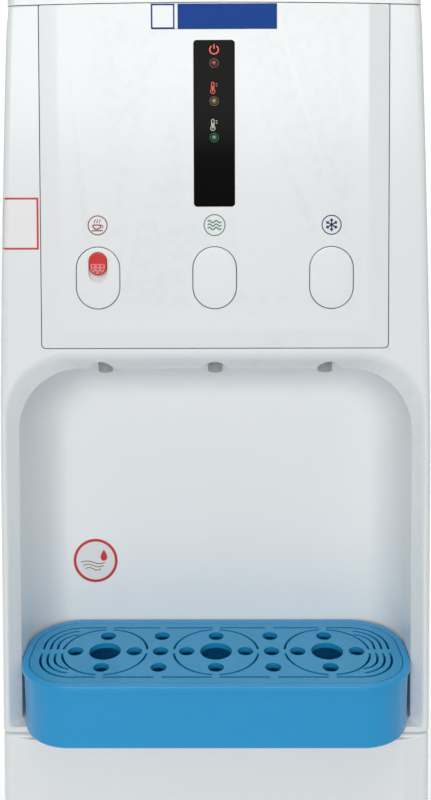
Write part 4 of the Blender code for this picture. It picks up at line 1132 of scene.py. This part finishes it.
# ------------------------------------------------------------------ prints and display
@dataclass
class PrintedMarks:
    """Generic pictures over the buttons, printed on the panel's face."""

    face: float = -0.00010
    back: float = 0.00025
    height: float = BUTTON_Z + 0.0385
    radius: float = 0.0069

    def stroke(self, solid: Solid, points: list[tuple[float, float]] | Grid, half: float = 0.00045) -> None:
        """Add one stroke to a picture."""
        solid.skin(ribbon(np.asarray(points, dtype=float), half, self.face, self.back))

    def wave(
        self, x: float, z: float, length: float, lift: float, upright: bool, cycles: float = 1.0
    ) -> Grid:
        """Sine line across, or up when upright, about a middle point."""
        run = np.linspace(-length / 2, length / 2, 25)
        sway = lift * np.sin(run / length * 2 * math.pi * cycles)
        parts = [x + sway, z + run] if upright else [x + run, z + sway]
        return np.stack(parts, axis=-1)

    def build(self, shop: Workshop) -> None:
        """Draw the cup, the waves and the snow crystal, each in its ring."""
        for tap, draw in ((Tap.HOT, self.cup), (Tap.NORMAL, self.waves), (Tap.COLD, self.crystal)):
            solid = Solid()
            grow = 0.0007 if tap is Tap.NORMAL else 0.0
            ring = hoop((tap.value, self.height), self.radius + grow, 0.00040, self.face, self.back)
            solid.skin(ring, Ends.JOINED)
            draw(solid, tap.value, self.height)
            obj = solid.mesh_object(f"{tap.label}_picture")
            shop.place(
                obj, f"{tap.label}_print", "cabinet", "red_plastic" if tap is Tap.HOT else "badge_blue"
            )

    def cup(self, solid: Solid, x: float, z: float) -> None:
        """Bowl, handle, saucer and three wisps of steam."""
        self.stroke(solid, arc_path((x - 0.0006, z + 0.0002), 0.0030, 180, 360))
        self.stroke(solid, [(x - 0.0036, z + 0.0002), (x + 0.0024, z + 0.0002)])
        self.stroke(solid, arc_path((x + 0.0026, z - 0.0009), 0.0012, -90, 90), 0.00026)
        self.stroke(solid, [(x - 0.0045, z - 0.0039), (x + 0.0038, z - 0.0039)])
        for across in (-0.0020, -0.0002, 0.0016):
            self.stroke(solid, self.wave(x + across, z + 0.0030, 0.0030, 0.0004, True), 0.00026)

    def waves(self, solid: Solid, x: float, z: float) -> None:
        """Three level waves."""
        for lift in (-0.0025, 0.0, 0.0025):
            self.stroke(solid, self.wave(x, z + lift, 0.0100, 0.0008, False, 2.0), 0.00050)

    def crystal(self, solid: Solid, x: float, z: float) -> None:
        """Three crossing bars with a pair of barbs near each end."""
        for arm in range(3):
            angle = math.radians(90 + 60 * arm)
            way = np.array([math.cos(angle), math.sin(angle)])
            self.stroke(solid, [(x, z) - 0.0048 * way, (x, z) + 0.0048 * way], 0.00050)
            for end in (-1, 1):
                for lean in (-1, 1):
                    barb = math.radians(90 + 60 * arm + lean * 45)
                    tip = np.array([math.cos(barb), math.sin(barb)])
                    root = np.array([x, z]) + end * 0.0026 * way
                    self.stroke(solid, [root, root + end * 0.0017 * tip], 0.00042)


@dataclass
class Display:
    """Smoked window with its glowing symbols and three lamps."""

    face: float = -0.00030
    back: float = 0.00060

    def build(self, shop: Workshop) -> None:
        """Dress the window and add the symbols."""
        window = []
        sines, inwards = quarter(4)
        edge = 0.0004
        for inset, depth in [(0.0, 0.0022), *zip(edge * inwards, -0.00015 + edge * (1 - sines))]:
            outline = rounded_outline(
                (-0.0147 + inset, 0.8121 + inset), (0.0147 - inset, 0.9319 - inset), 0.0024, 0.0024
            )
            window.append(rings_at_depth(outline[None], [depth])[0])
        obj = Solid().skin(np.array(window)).mesh_object("smoked_display")
        shop.place(obj, "smoked_window", "cabinet", "black_gloss", ("display_window",))
        power = Solid()
        middle = (0.0, BUTTON_Z + 0.1652)
        power.skin(ribbon(arc_path(middle, 0.0031, 122, 418), 0.00042, self.face, self.back))
        bar = np.array([[0.0, middle[1] + 0.0004], [0.0, middle[1] + 0.0040]])
        power.skin(ribbon(bar, 0.00042, self.face, self.back))
        shop.place(power.mesh_object("power_symbol"), "red_glow", "cabinet", "red_plastic")
        for name, rise, finish in (("hot_gauge", 0.1379, "red_glow"), ("cold_gauge", 0.1112, "pale_glow")):
            self.gauge(shop, name, BUTTON_Z + rise, finish)
        for name, rise, tint in LAMPS:
            self.lamp(shop, name, BUTTON_Z + rise, tint)

    def gauge(self, shop: Workshop, name: str, z: float, finish: str) -> None:
        """Thermometer: an open stem over a bulb, with two marks beside it."""
        solid = Solid()
        stem = np.concatenate(
            [
                [[-0.0019, z - 0.0012], [-0.0019, z + 0.0030]],
                arc_path((-0.0010, z + 0.0030), 0.0009, 180, 0),
                [[-0.0001, z - 0.0012]],
            ]
        )
        solid.skin(ribbon(stem, 0.00022, self.face, self.back))
        solid.skin(ribbon(arc_path((-0.0010, z - 0.0026), 0.0016, 55, -235), 0.00022, self.face, self.back))
        core = np.array([[-0.0010, z - 0.0028], [-0.0010, z + 0.0012]])
        solid.skin(ribbon(core, 0.00038, self.face, self.back))
        for lift in (0.0028, 0.0012):
            solid.skin(
                ribbon(np.array([[0.0011, z + lift], [0.0024, z + lift]]), 0.00022, self.face, self.back)
            )
        shop.place(solid.mesh_object(name), finish, "cabinet", "red_plastic")

    def lamp(self, shop: Workshop, name: str, z: float, tint: str) -> None:
        """Small domed lamp in a ring, lit at its middle: radius r cos t, height h sin t."""
        self.dome(shop, name, z, 0.0021, 0.0005, f"{tint}_lens")
        self.dome(shop, f"{name}_core", z + 0.0002, 0.0006, 0.0007, f"{tint}_glow")
        ring = hoop((0.0, z), 0.0031, 0.00016, self.face, self.back)
        shop.place(
            Solid().skin(ring, Ends.JOINED).mesh_object(f"{name}_ring"),
            f"{tint}_lens", "cabinet", "red_plastic"
        )

    def dome(self, shop: Workshop, name: str, z: float, reach: float, lift: float, finish: str) -> None:
        """One dome on the window's face."""
        turn = np.linspace(0, 2 * math.pi, 28, endpoint=False)
        rise = np.radians(np.linspace(0, 84, 7))[:, None]
        radius = reach * np.cos(rise)
        rings = in_frame(radius * np.cos(turn), self.face - lift * np.sin(rise), z + radius * np.sin(turn))
        base = in_frame(reach * np.cos(turn), self.back, z + reach * np.sin(turn))[None]
        shop.place(
            Solid().skin(np.concatenate([base, rings])).mesh_object(name), finish, "cabinet", "red_plastic"
        )


@dataclass
class Badge:
    """Plain two-tone badge: a framed white tile beside a blue bar, with no mark on either."""

    low: float = 0.9402
    high: float = 0.9580

    def slab(
        self, name: str, left: float, right: float, trim: float, near: float, shop: Workshop, finish: str
    ) -> None:
        """Thin plate with rounded edges."""
        sines, inwards = quarter(3)
        edge = 0.0002
        rings = []
        for inset, depth in [(0.0, 0.0006), *zip(edge * inwards, near + edge * (1 - sines))]:
            outline = rounded_outline(
                (left + inset, self.low + trim + inset),
                (right - inset, self.high - trim - inset), 0.0004, 0.0004, 4
            )
            rings.append(rings_at_depth(outline[None], [depth])[0])
        replaced = ("badge_plate",) if name == "badge_backing" else ()
        obj = Solid().skin(np.array(rings)).mesh_object(name)
        shop.place(obj, finish, "cabinet", "badge_blue", replaced)

    def build(self, shop: Workshop) -> None:
        """Stack the backing, the tile's frame, the tile and the bar."""
        self.slab("badge_backing", -0.0453, 0.0453, 0.0, -0.00010, shop, "badge_white")
        self.slab("badge_tile_frame", -0.0453, -0.0284, 0.0, -0.00028, shop, "badge_blue")
        self.slab("badge_tile", -0.0443, -0.0294, 0.0010, -0.00038, shop, "badge_white")
        self.slab("badge_bar", -0.0262, 0.0453, 0.0, -0.00034, shop, "badge_blue")


@dataclass
class Stickers:
    """Blank framed label on the flank and a ringed drop on the niche's back wall."""

    def build(self, shop: Workshop) -> None:
        """Lay the label over the rounded flank, then the disc on the back wall."""
        self.label(shop, "flank_label_border", 0.0, "red_print", 0.00004)
        self.label(shop, "flank_label", 0.0015, "blank_label", 0.00008)
        centre = (-0.0986, 0.519)
        wall = 0.073
        turn = np.linspace(0, 2 * math.pi, 72, endpoint=False)
        reach = np.array([[0.0180], [0.0180], [0.0178]])
        depth = np.array([[wall + 0.0005], [wall - 0.00008], [wall - 0.00014]])
        disc = in_frame(centre[0] + reach * np.cos(turn), depth, centre[1] + reach * np.sin(turn))
        shop.place(Solid().skin(disc).mesh_object("niche_disc"), "blank_label", "cabinet", "white_shell")
        near, far = wall - 0.00026, wall - 0.00005
        mark = Solid().skin(hoop(centre, 0.0169, 0.0011, near, far), Ends.JOINED)
        turn = np.linspace(0, 2 * math.pi, 48, endpoint=False)
        taper = np.sqrt(0.5 * (1 - np.cos(turn)))
        drop_x = centre[0] + 0.0068 + 0.0034 * np.sin(turn) * taper
        drop_z = centre[1] + 0.0044 + 0.0046 * np.cos(turn)
        mark.skin(in_frame(drop_x, np.array([[far], [near]]), drop_z))
        shop.place(mark.mesh_object("niche_disc_mark"), "red_print", "cabinet", "red_plastic")
        lines = Solid()
        run = np.linspace(0, 1, 25)
        for lift, length in ((-0.0015, 0.0200), (-0.0042, 0.0170), (-0.0069, 0.0130)):
            line_x = centre[0] - 0.0020 + length * (run - 0.5)
            line_z = centre[1] + lift + 0.0011 * np.sin(2 * math.pi * run)
            lines.skin(ribbon(np.stack([line_x, line_z], axis=-1), 0.00030, near, far))
        shop.place(lines.mesh_object("niche_disc_lines"), "hot_print", "cabinet", "red_plastic")

    def label(self, shop: Workshop, name: str, trim: float, finish: str, lift: float) -> None:
        """Thin sheet that follows the fascia's rolled edge: depth is that of the face less a lift."""
        fascia = Fascia()
        high, low = BUTTON_Z + 0.0588 - trim, BUTTON_Z + 0.0207 + trim
        x = np.linspace(-0.1600, -0.1283 - trim, 26)
        z = np.linspace(low, high, 14)
        grid_z, grid_x = np.meshgrid(z, x, indexing="ij")
        grid_x = np.maximum(grid_x, -(half_width(grid_z) - 0.0004))
        flat = np.stack([grid_x.ravel(), grid_z.ravel()], axis=-1)
        depth = fascia.face_depth(flat).reshape(grid_x.shape)
        rings = np.concatenate([grid_x, grid_x[:, ::-1]], axis=1)
        depths = np.concatenate([depth - lift, depth[:, ::-1] + 0.0003], axis=1)
        heights = np.concatenate([grid_z, grid_z[:, ::-1]], axis=1)
        obj = Solid().skin(in_frame(rings, depths, heights)).mesh_object(name)
        shop.place(obj, finish, "cabinet", "white_shell")


# ------------------------------------------------------------------ nozzles
@dataclass
class Nozzle:
    """Milky spout turned about an upright axis, with a bore through it."""

    tap: Tap
    radius: float = 0.0061
    bore: float = 0.0035
    tip: float = 0.682
    top: float = 0.6977

    def build(self, shop: Workshop) -> None:
        """Turn the closed profile: down the outside with a rolled lip, and up the bore."""
        profile = np.array(
            [
                [self.radius, self.top],
                [self.radius, self.tip + 0.0052],
                [self.radius - 0.0003, self.tip + 0.0048],
                [self.radius - 0.0003, self.tip + 0.0012],
                [self.radius - 0.0007, self.tip + 0.0004],
                [self.radius - 0.0013, self.tip],
                [self.bore + 0.0005, self.tip],
                [self.bore, self.tip + 0.0006],
                [self.bore, self.top],
            ]
        )
        obj = Solid().skin(turned(profile, (self.tap.value, TAP_DEPTH), 48), Ends.JOINED)
        node = f"{self.tap.label}_nozzle"
        shop.place(obj.mesh_object(f"{node}_spout"), "milky_nozzle", "cabinet", "clear_nozzle", (node,))


# ------------------------------------------------------------------ drip tray
@dataclass
class DripTray:
    """Deep blue tub with a rolled rim, and the slotted grille that lies in it."""

    half: float = 0.1458
    front: float = -TRAY_OVERHANG
    rear: float = 0.0712
    corner: float = 0.040
    top: float = 0.4706
    bottom: float = 0.4241
    rim: float = 0.0055
    thickness: float = 0.004
    slot: float = 0.0018

    @property
    def middle(self) -> float:
        """Depth of the tray's long middle line."""
        return (self.front + self.rear) / 2

    def outline(self, inset: float) -> Grid:
        """Plan (x, depth) of the tray, pulled in by an inset."""
        corner = self.corner - inset
        return rounded_outline(
            (-self.half + inset, self.front + inset),
            (self.half - inset, self.rear - inset), corner, corner, 24, 12
        )

    def build_tub(self, shop: Workshop) -> None:
        """Loft from the underside, up the drafted wall, over the rim and down to the floor."""
        seat = self.top - self.thickness - 0.0003
        sines, inwards = quarter(5)
        rows = [(0.0060, self.bottom)]
        rows += [(0.0026 + 0.0008 * (1 - s), self.bottom + 0.0008 * i) for s, i in zip(sines, inwards)]
        rows += [(0.0016, 0.4664), (0.0014, 0.4667)]
        rows += [(0.0014 - 0.0014 * s, 0.4667 + 0.0004 * i) for s, i in zip(sines[1:], inwards[1:])]
        lip = 0.0009
        rows += [(lip * i, self.top - lip * (1 - s)) for s, i in zip(sines, inwards)]
        rows += [
            (self.rim - 0.0004 - 0.0006 * (1 - s), self.top - 0.0006 * i) for s, i in zip(sines, inwards)
        ]
        rows += [(self.rim - 0.0003, seat), (0.0070, seat), (0.0075, self.bottom + 0.0040)]
        rows += [
            (0.0075 + 0.0016 * i, self.bottom + 0.0040 - 0.0016 * s) for s, i in zip(sines[1:], inwards[1:])
        ]
        rings = rings_at_height(np.stack([self.outline(i) for i, _ in rows]), [z for _, z in rows])
        obj = Solid().skin(rings).mesh_object("drip_tub_moulding")
        shop.place(obj, "blue_moulding", "drip_tray", "blue_plastic", ("drip_tub",))

    def ring_slot(self, x: float, radius: float, start: float, end: float) -> Grid:
        """Part of a ring in plan, between two angles in degrees."""
        turn = np.radians(np.linspace(start, end, 17))
        reach = np.concatenate([np.full(17, radius + self.slot / 2), np.full(17, radius - self.slot / 2)])
        turn = np.concatenate([turn, turn[::-1]])
        return np.stack([x + reach * np.cos(turn), self.middle + reach * np.sin(turn)], axis=-1)

    def end_slot(self, side: int, quarter_side: int, inset: float, reach: float) -> Grid:
        """Slot round one quarter of the tray's end, from its middle line in to x = reach."""
        radius = self.corner - inset
        centre_x = self.half - self.corner
        centre_d = (self.rear if quarter_side > 0 else self.front) - quarter_side * self.corner
        sweep = math.pi / 2
        if reach > centre_x:
            sweep = math.acos((reach - centre_x) / (radius - self.slot / 2))
        angle = np.linspace(0, sweep, 15)
        sides = []
        for offset in (0.0, self.slot):
            bend = radius - offset
            line = np.stack(
                [centre_x + bend * np.cos(angle), centre_d + quarter_side * bend * np.sin(angle)], axis=-1
            )
            line = np.concatenate([[[centre_x + bend, self.middle + quarter_side * 0.0028]], line])
            if reach < centre_x:
                line = np.concatenate([line, [[reach, centre_d + quarter_side * bend]]])
            sides.append(line)
        outline = np.concatenate([sides[0], sides[1][::-1]])
        return outline * np.array([side, 1.0])

    def openings(self, low: float, high: float) -> Solid:
        """Prisms of every slot and hole in the grille."""
        cut = Solid()
        outlines = []
        for tap in Tap:
            outlines += [self.ring_slot(tap.value, 0.0323, 90 * k + 5, 90 * k + 85) for k in range(4)]
        for side in (-1, 1):
            for quarter_side in (-1, 1):
                for inset, reach in ((0.0125, 0.088), (0.0178, 0.109), (0.0231, 0.109)):
                    outlines.append(self.end_slot(side, quarter_side, inset, reach))
        for line in (self.front + 0.0125, self.rear - 0.0125 - self.slot):
            for start, stop in ((-0.082, -0.0455), (-0.0395, -0.003), (0.003, 0.0395), (0.0455, 0.082)):
                far = line + self.slot
                outlines.append(np.array([[start, line], [stop, line], [stop, far], [start, far]]))
        for outline in outlines:
            cut.skin(rings_at_height(np.stack([outline, outline]), [low, high]))
        for x, depth, radius in self.holes():
            wall = np.array([[radius, low], [radius, high]])
            cut.skin(turned(wall, (x, depth), 40 if radius > 0.01 else 28))
        return cut

    def holes(self) -> list[tuple[float, float, float]]:
        """Round holes as (x, depth, radius): a large one under each tap with four round it."""
        holes = []
        for tap in Tap:
            holes.append((tap.value, self.middle, 0.01215))
            for k in range(4):
                angle = math.radians(90 * k)
                holes.append(
                    (
                        tap.value + HOLE_RING_RADIUS * math.cos(angle),
                        self.middle + HOLE_RING_RADIUS * math.sin(angle), 0.006
                    )
                )
        for side in (-1, 1):
            holes += [(side * TAP_PITCH / 2, self.middle + row * 0.0225, 0.006) for row in (-1, 0, 1)]
        return holes

    def build_grille(self, shop: Workshop) -> None:
        """Plate with a rounded border, cut by its slots and holes, then softened."""
        low, top = self.top - self.thickness, self.top - 0.0001
        sines, inwards = quarter(4)
        edge = 0.0006
        rows = [(self.rim, low)]
        rows += [(self.rim + edge * i, top - edge * (1 - s)) for s, i in zip(sines, inwards)]
        rings = rings_at_height(np.stack([self.outline(i) for i, _ in rows]), [z for _, z in rows])
        obj = Solid().skin(rings).mesh_object("drip_grille_plate")
        shop.carve(obj, self.openings(low - 0.002, top + 0.002))
        shop.soften(obj, 0.0004, 2, 60.0)
        shop.place(obj, "blue_grille", "grille", "blue_plastic", ("drip_grille",))

    def build(self, shop: Workshop) -> None:
        """Make the tub and the grille."""
        self.build_tub(shop)
        self.build_grille(shop)


# ------------------------------------------------------------------ door
@dataclass
class CabinetDoor:
    """Lower door: a flat middle, slanted side bands and a rolled outer edge."""

    half: float = 0.1592
    low: float = 0.045
    high: float = 0.4182
    back: float = 0.036
    wall: float = 0.0026

    def ring(self, depth: float, side: float, end: float) -> Grid:
        """The door's outline pulled in at its sides and ends, at a depth."""
        outline = rounded_outline(
            (-self.half + side, self.low + end), (self.half - side, self.high - end), 0.003, 0.003, 8, 10
        )
        return rings_at_depth(outline[None], [depth])[0]

    def build(self, shop: Workshop) -> None:
        """Loft the face, its return and the hollow behind it, then cut the grip and pin holes."""
        sines, inwards = quarter(8)
        rings = [self.ring(self.back, 0.0, 0.0)]
        rings += [self.ring(0.008 - 0.006 * s, 0.0062 * i, 0.0018 * i) for s, i in zip(sines, inwards)]
        rings.append(self.ring(0.0019, 0.0077, 0.0020))
        for t in np.linspace(0, 1, 6):
            side = 0.0185 + 0.0024 * t
            depth = 0.0019 - 0.0029 * min(1.0, (side - 0.0077) / 0.0120) + 0.00012 * (1 - t) * t
            rings.append(self.ring(depth, side, 0.0024 + 0.0008 * t))
        rings = rings[::-1]
        inner = [self.ring(self.back, self.wall, self.wall), self.ring(0.0048, self.wall, self.wall)]
        obj = Solid().skin(np.array(rings + inner)).mesh_object("door_moulding")
        tools = Solid()
        for low, high in ((0.4035, 0.425), (0.040, 0.0585)):
            tools.skin(turned(np.array([[0.0029, low], [0.0029, high]]), (0.1515, 0.014), 24))
        grip = rounded_outline((-0.165, 0.200), (-0.150, 0.280), 0.002, 0.002, 4, 2)
        tools.skin(rings_at_depth(np.stack([grip, grip]), [0.018, 0.040]))
        shop.carve(obj, tools)
        shop.soften(obj, 0.0004, 2, 60.0)
        shop.place(obj, "white_moulding", "door", "white_shell", ("door_panel",))


# ------------------------------------------------------------------ top and back
@dataclass
class TopFunnel:
    """Funnel with a hollow feed probe, which an upturned bottle rests in."""

    depth: float = 0.160
    segments: int = 96

    def profile(self) -> Grid:
        """Closed section (radius, z): flange, cone and neck outside, then probe, bowl and rim inside."""
        return np.array(
            [
                [0.0840, 0.9846],
                [0.0700, 0.9846],
                [0.0660, 0.9810],
                [0.0345, 0.9500],
                [0.0325, 0.9220],
                [0.0120, 0.9180],
                [0.0120, 0.8990],
                [0.0030, 0.8990],
                [0.0030, 0.9860],
                [0.0050, 0.9860],
                [0.0080, 0.9780],
                [0.0080, 0.9260],
                [0.0300, 0.9260],
                [0.0320, 0.9510],
                [0.0640, 0.9850],
                [0.0725, 0.9960],
                [0.0735, 1.0000],
                [0.0765, 1.0000],
                [0.0790, 0.9900],
                [0.0840, 0.9870],
            ]
        )

    def build(self, shop: Workshop) -> None:
        """Turn the section about the bottle's axis, and round its corners."""
        rings = turned(self.profile(), (0.0, self.depth), self.segments)
        obj = Solid().skin(rings, Ends.JOINED).mesh_object("funnel_moulding")
        shop.soften(obj, 0.0006, 3, 14.0)
        shop.place(obj, "white_moulding", "funnel", "white_shell", ("bottle_funnel",))


@dataclass
class ReturnSpring:
    """Wire coil under a valve stem's collar. The real coil shortens as the stem goes down; this one is built
    at rest length and stays fixed to the cabinet.
    """

    tap: Tap
    radius: float = 0.0042
    wire: float = 0.00045
    low: float = SPRING_LOW_Z
    high: float = SPRING_HIGH_Z
    turns: int = 4

    def build(self, shop: Workshop) -> None:
        """Coil of wire: r = R + w cos s outwards and z = low + rise + w sin s, along the turn t."""
        turn = np.linspace(0, 2 * math.pi * self.turns, 28 * self.turns + 1)[:, None]
        section = np.linspace(0, 2 * math.pi, 10, endpoint=False)[None, :]
        reach = self.radius + self.wire * np.cos(section)
        height = self.low + (self.high - self.low) * turn / turn[-1] + self.wire * np.sin(section)
        x, depth = self.tap.value + reach * np.cos(turn), TAP_DEPTH + reach * np.sin(turn)
        node = f"{self.tap.label}_return_spring"
        obj = Solid().skin(in_frame(x, depth, height)).mesh_object(f"{self.tap.label}_spring_coil")
        shop.place(obj, "spring_wire", "cabinet", "spring_steel", (node,))
        anchor = in_frame(self.tap.value, TAP_DEPTH, self.low - self.wire)
        f"{self.tap.label}_valve_slide"
        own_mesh(obj)


@dataclass
class RearDetails:
    """Pan-head screws that hold the rear panel and the top cover's back edge."""

    depth: float = 0.2995

    def build(self, shop: Workshop) -> None:
        """Domed screw heads with a cross recess: radius r cos t, height h sin t."""
        places = [(-0.148, 0.100), (0.148, 0.100), (-0.148, 0.400), (0.148, 0.400)]
        places += [(-0.146, 0.660), (0.146, 0.660), (-0.138, 0.930), (0.138, 0.930), (0.0, 0.930)]
        heads = Solid()
        turn = np.linspace(0, 2 * math.pi, 24, endpoint=False)
        rise = np.radians(np.linspace(0, 80, 6))[:, None]
        for x, z in places:
            radius = 0.0034 * np.cos(rise)
            dome = in_frame(
                x + radius * np.cos(turn),
                self.depth + 0.0002 + 0.0017 * np.sin(rise), z + radius * np.sin(turn)
            )
            base = in_frame(x + 0.0034 * np.cos(turn), self.depth - 0.0004, z + 0.0034 * np.sin(turn))[None]
            heads.skin(np.concatenate([base, dome]))
        obj = heads.mesh_object("rear_screws")
        for wide, tall in ((0.0018, 0.00035), (0.00035, 0.0018)):
            bars = Solid()
            for x, z in places:
                outline = rounded_outline((x - wide, z - tall), (x + wide, z + tall), 0.0001, 0.0001, 2, 1)
                bars.skin(
                    rings_at_depth(np.stack([outline, outline]), [self.depth + 0.0009, self.depth + 0.004])
                )
            shop.carve(obj, bars)
        shop.place(obj, "brushed_stainless", "cabinet", "stainless")


# ------------------------------------------------------------------ studio
@dataclass
class Studio:
    """Pale floor and backdrop, soft lights and the camera."""

    def build(self, shop: Workshop) -> None:
        """Set up everything that isn't part of the object."""
        self.sweep(shop)
        self.world()
        self.softbox("key_light", (-0.35, -3.05, 1.62), (0.0, 0.0, 0.62), (2.4, 1.4), 45.0)
        self.softbox("mirror_light", (0.0, -2.7, 0.86), (0.0, 0.0, 0.86), (1.0, 1.15), 2.5)
        self.softbox("ceiling_light", (0.2, -0.6, 2.7), (0.0, 0.0, 0.6), (2.0, 1.4), 16.0)
        self.softbox("back_light", (-1.2, 2.0, 2.0), (0.0, 0.0, 0.6), (1.8, 1.4), 26.0)
        self.softbox("backdrop_light", (0.0, 0.9, 2.6), (0.0, 3.6, 0.9), (3.2, 0.8), 110.0)
        self.camera()

    def sweep(self, shop: Workshop) -> None:
        """Floor that curves up into a backdrop: flat, then a quarter circle, then upright."""
        turn = np.radians(np.linspace(0, 90, 16))
        depth = np.concatenate([[-6.0, 2.4], 2.4 + 1.2 * np.sin(turn[1:]), [3.6]])
        height = np.concatenate([[0.0, 0.0], 1.2 * (1 - np.cos(turn[1:])), [6.0]])
        across = np.linspace(-6.0, 6.0, 9)
        grid_d, grid_x = np.meshgrid(depth, across, indexing="ij")
        grid_z = np.repeat(height[:, None], len(across), axis=1)
        points = np.stack([grid_x, grid_d, grid_z], axis=-1).reshape(-1, 3)
        rows, columns = grid_x.shape
        row, column = np.meshgrid(np.arange(rows - 1), np.arange(columns - 1), indexing="ij")
        start = row * columns + column
        quads = np.stack([start, start + 1, start + columns + 1, start + columns], axis=-1).reshape(-1, 4)
        mesh = bpy.data.meshes.new("studio_floor")
        mesh.from_pydata(points.tolist(), [], quads.tolist())
        mesh.materials.append(shop.materials["floor_paint"])
        mesh.shade_smooth()
        floor = bpy.data.objects.new("studio_floor", mesh)
        bpy.context.scene.collection.objects.link(floor)

    def world(self) -> None:
        """Even pale surroundings."""
        world = bpy.data.worlds.new("studio_air")
        world.use_nodes = True
        background = world.node_tree.nodes["Background"]
        background.inputs["Color"].default_value = (0.90, 0.95, 1.0, 1.0)
        background.inputs["Strength"].default_value = 0.34
        bpy.context.scene.world = world
        bpy.context.scene.view_settings.view_transform = "Standard"

    def softbox(
        self,
        name: str,
        place: tuple[float, float, float],
        target: tuple[float, float, float],
        size: tuple[float, float],
        power: float,
    ) -> None:
        """Rectangular area light that points at a target."""
        light = bpy.data.lights.new(name, "AREA")
        light.shape = "RECTANGLE"
        light.size, light.size_y = size
        light.energy = power
        light.color = (1.0, 0.99, 0.97)
        obj = bpy.data.objects.new(name, light)
        way = Vector(target) - Vector(place)
        obj.matrix_world = Matrix.Translation(place) @ way.to_track_quat("-Z", "Y").to_matrix().to_4x4()
        bpy.context.scene.collection.objects.link(obj)

    def camera(self) -> None:
        """Camera close in front of the taps, tilted slightly down, with a lowered frame."""
        yaw, pitch, roll = (math.radians(angle) for angle in (-0.24, 2.27, 0.17))
        forward = Vector((math.sin(yaw) * math.cos(pitch), math.cos(yaw) * math.cos(pitch), -math.sin(pitch)))
        right = Vector((math.cos(yaw), -math.sin(yaw), 0.0))
        up = right.cross(forward)
        turned_right = right * math.cos(roll) - up * math.sin(roll)
        turned_up = up * math.cos(roll) + right * math.sin(roll)
        lens = bpy.data.cameras.new("main_camera")
        lens.sensor_fit = "VERTICAL"
        lens.sensor_height = 36.0
        lens.lens = 41.0
        lens.shift_y = -0.245
        lens.clip_start = 0.01
        obj = bpy.data.objects.new("main_camera", lens)
        turn = Matrix((turned_right, turned_up, -forward)).transposed().to_4x4()
        obj.matrix_world = Matrix.Translation((0.0035, PANEL_Y - 0.6608, 0.840)) @ turn
        bpy.context.scene.collection.objects.link(obj)
        bpy.context.scene.camera = obj


def main() -> None:
    """Build every sub-assembly in order."""
    logging.basicConfig(level=logging.INFO, format="%(name)s: %(message)s")
    shop = Workshop()
    shop.prepare()
    shop.dress_nodes()
    Fascia().build(shop)
    NicheLiner().build(shop)
    ControlPanel().build(shop)
    for tap in Tap:
        PushButton(tap).build(shop)
        Nozzle(tap).build(shop)
        ReturnSpring(tap).build(shop)
    ChildLock().build(shop)
    PrintedMarks().build(shop)
    Display().build(shop)
    Badge().build(shop)
    Stickers().build(shop)
    DripTray().build(shop)
    CabinetDoor().build(shop)
    TopFunnel().build(shop)
    RearDetails().build(shop)
    Studio().build(shop)
    LOG.info("%d new pieces", len(shop.made))


if __name__ == "__main__":
    main()
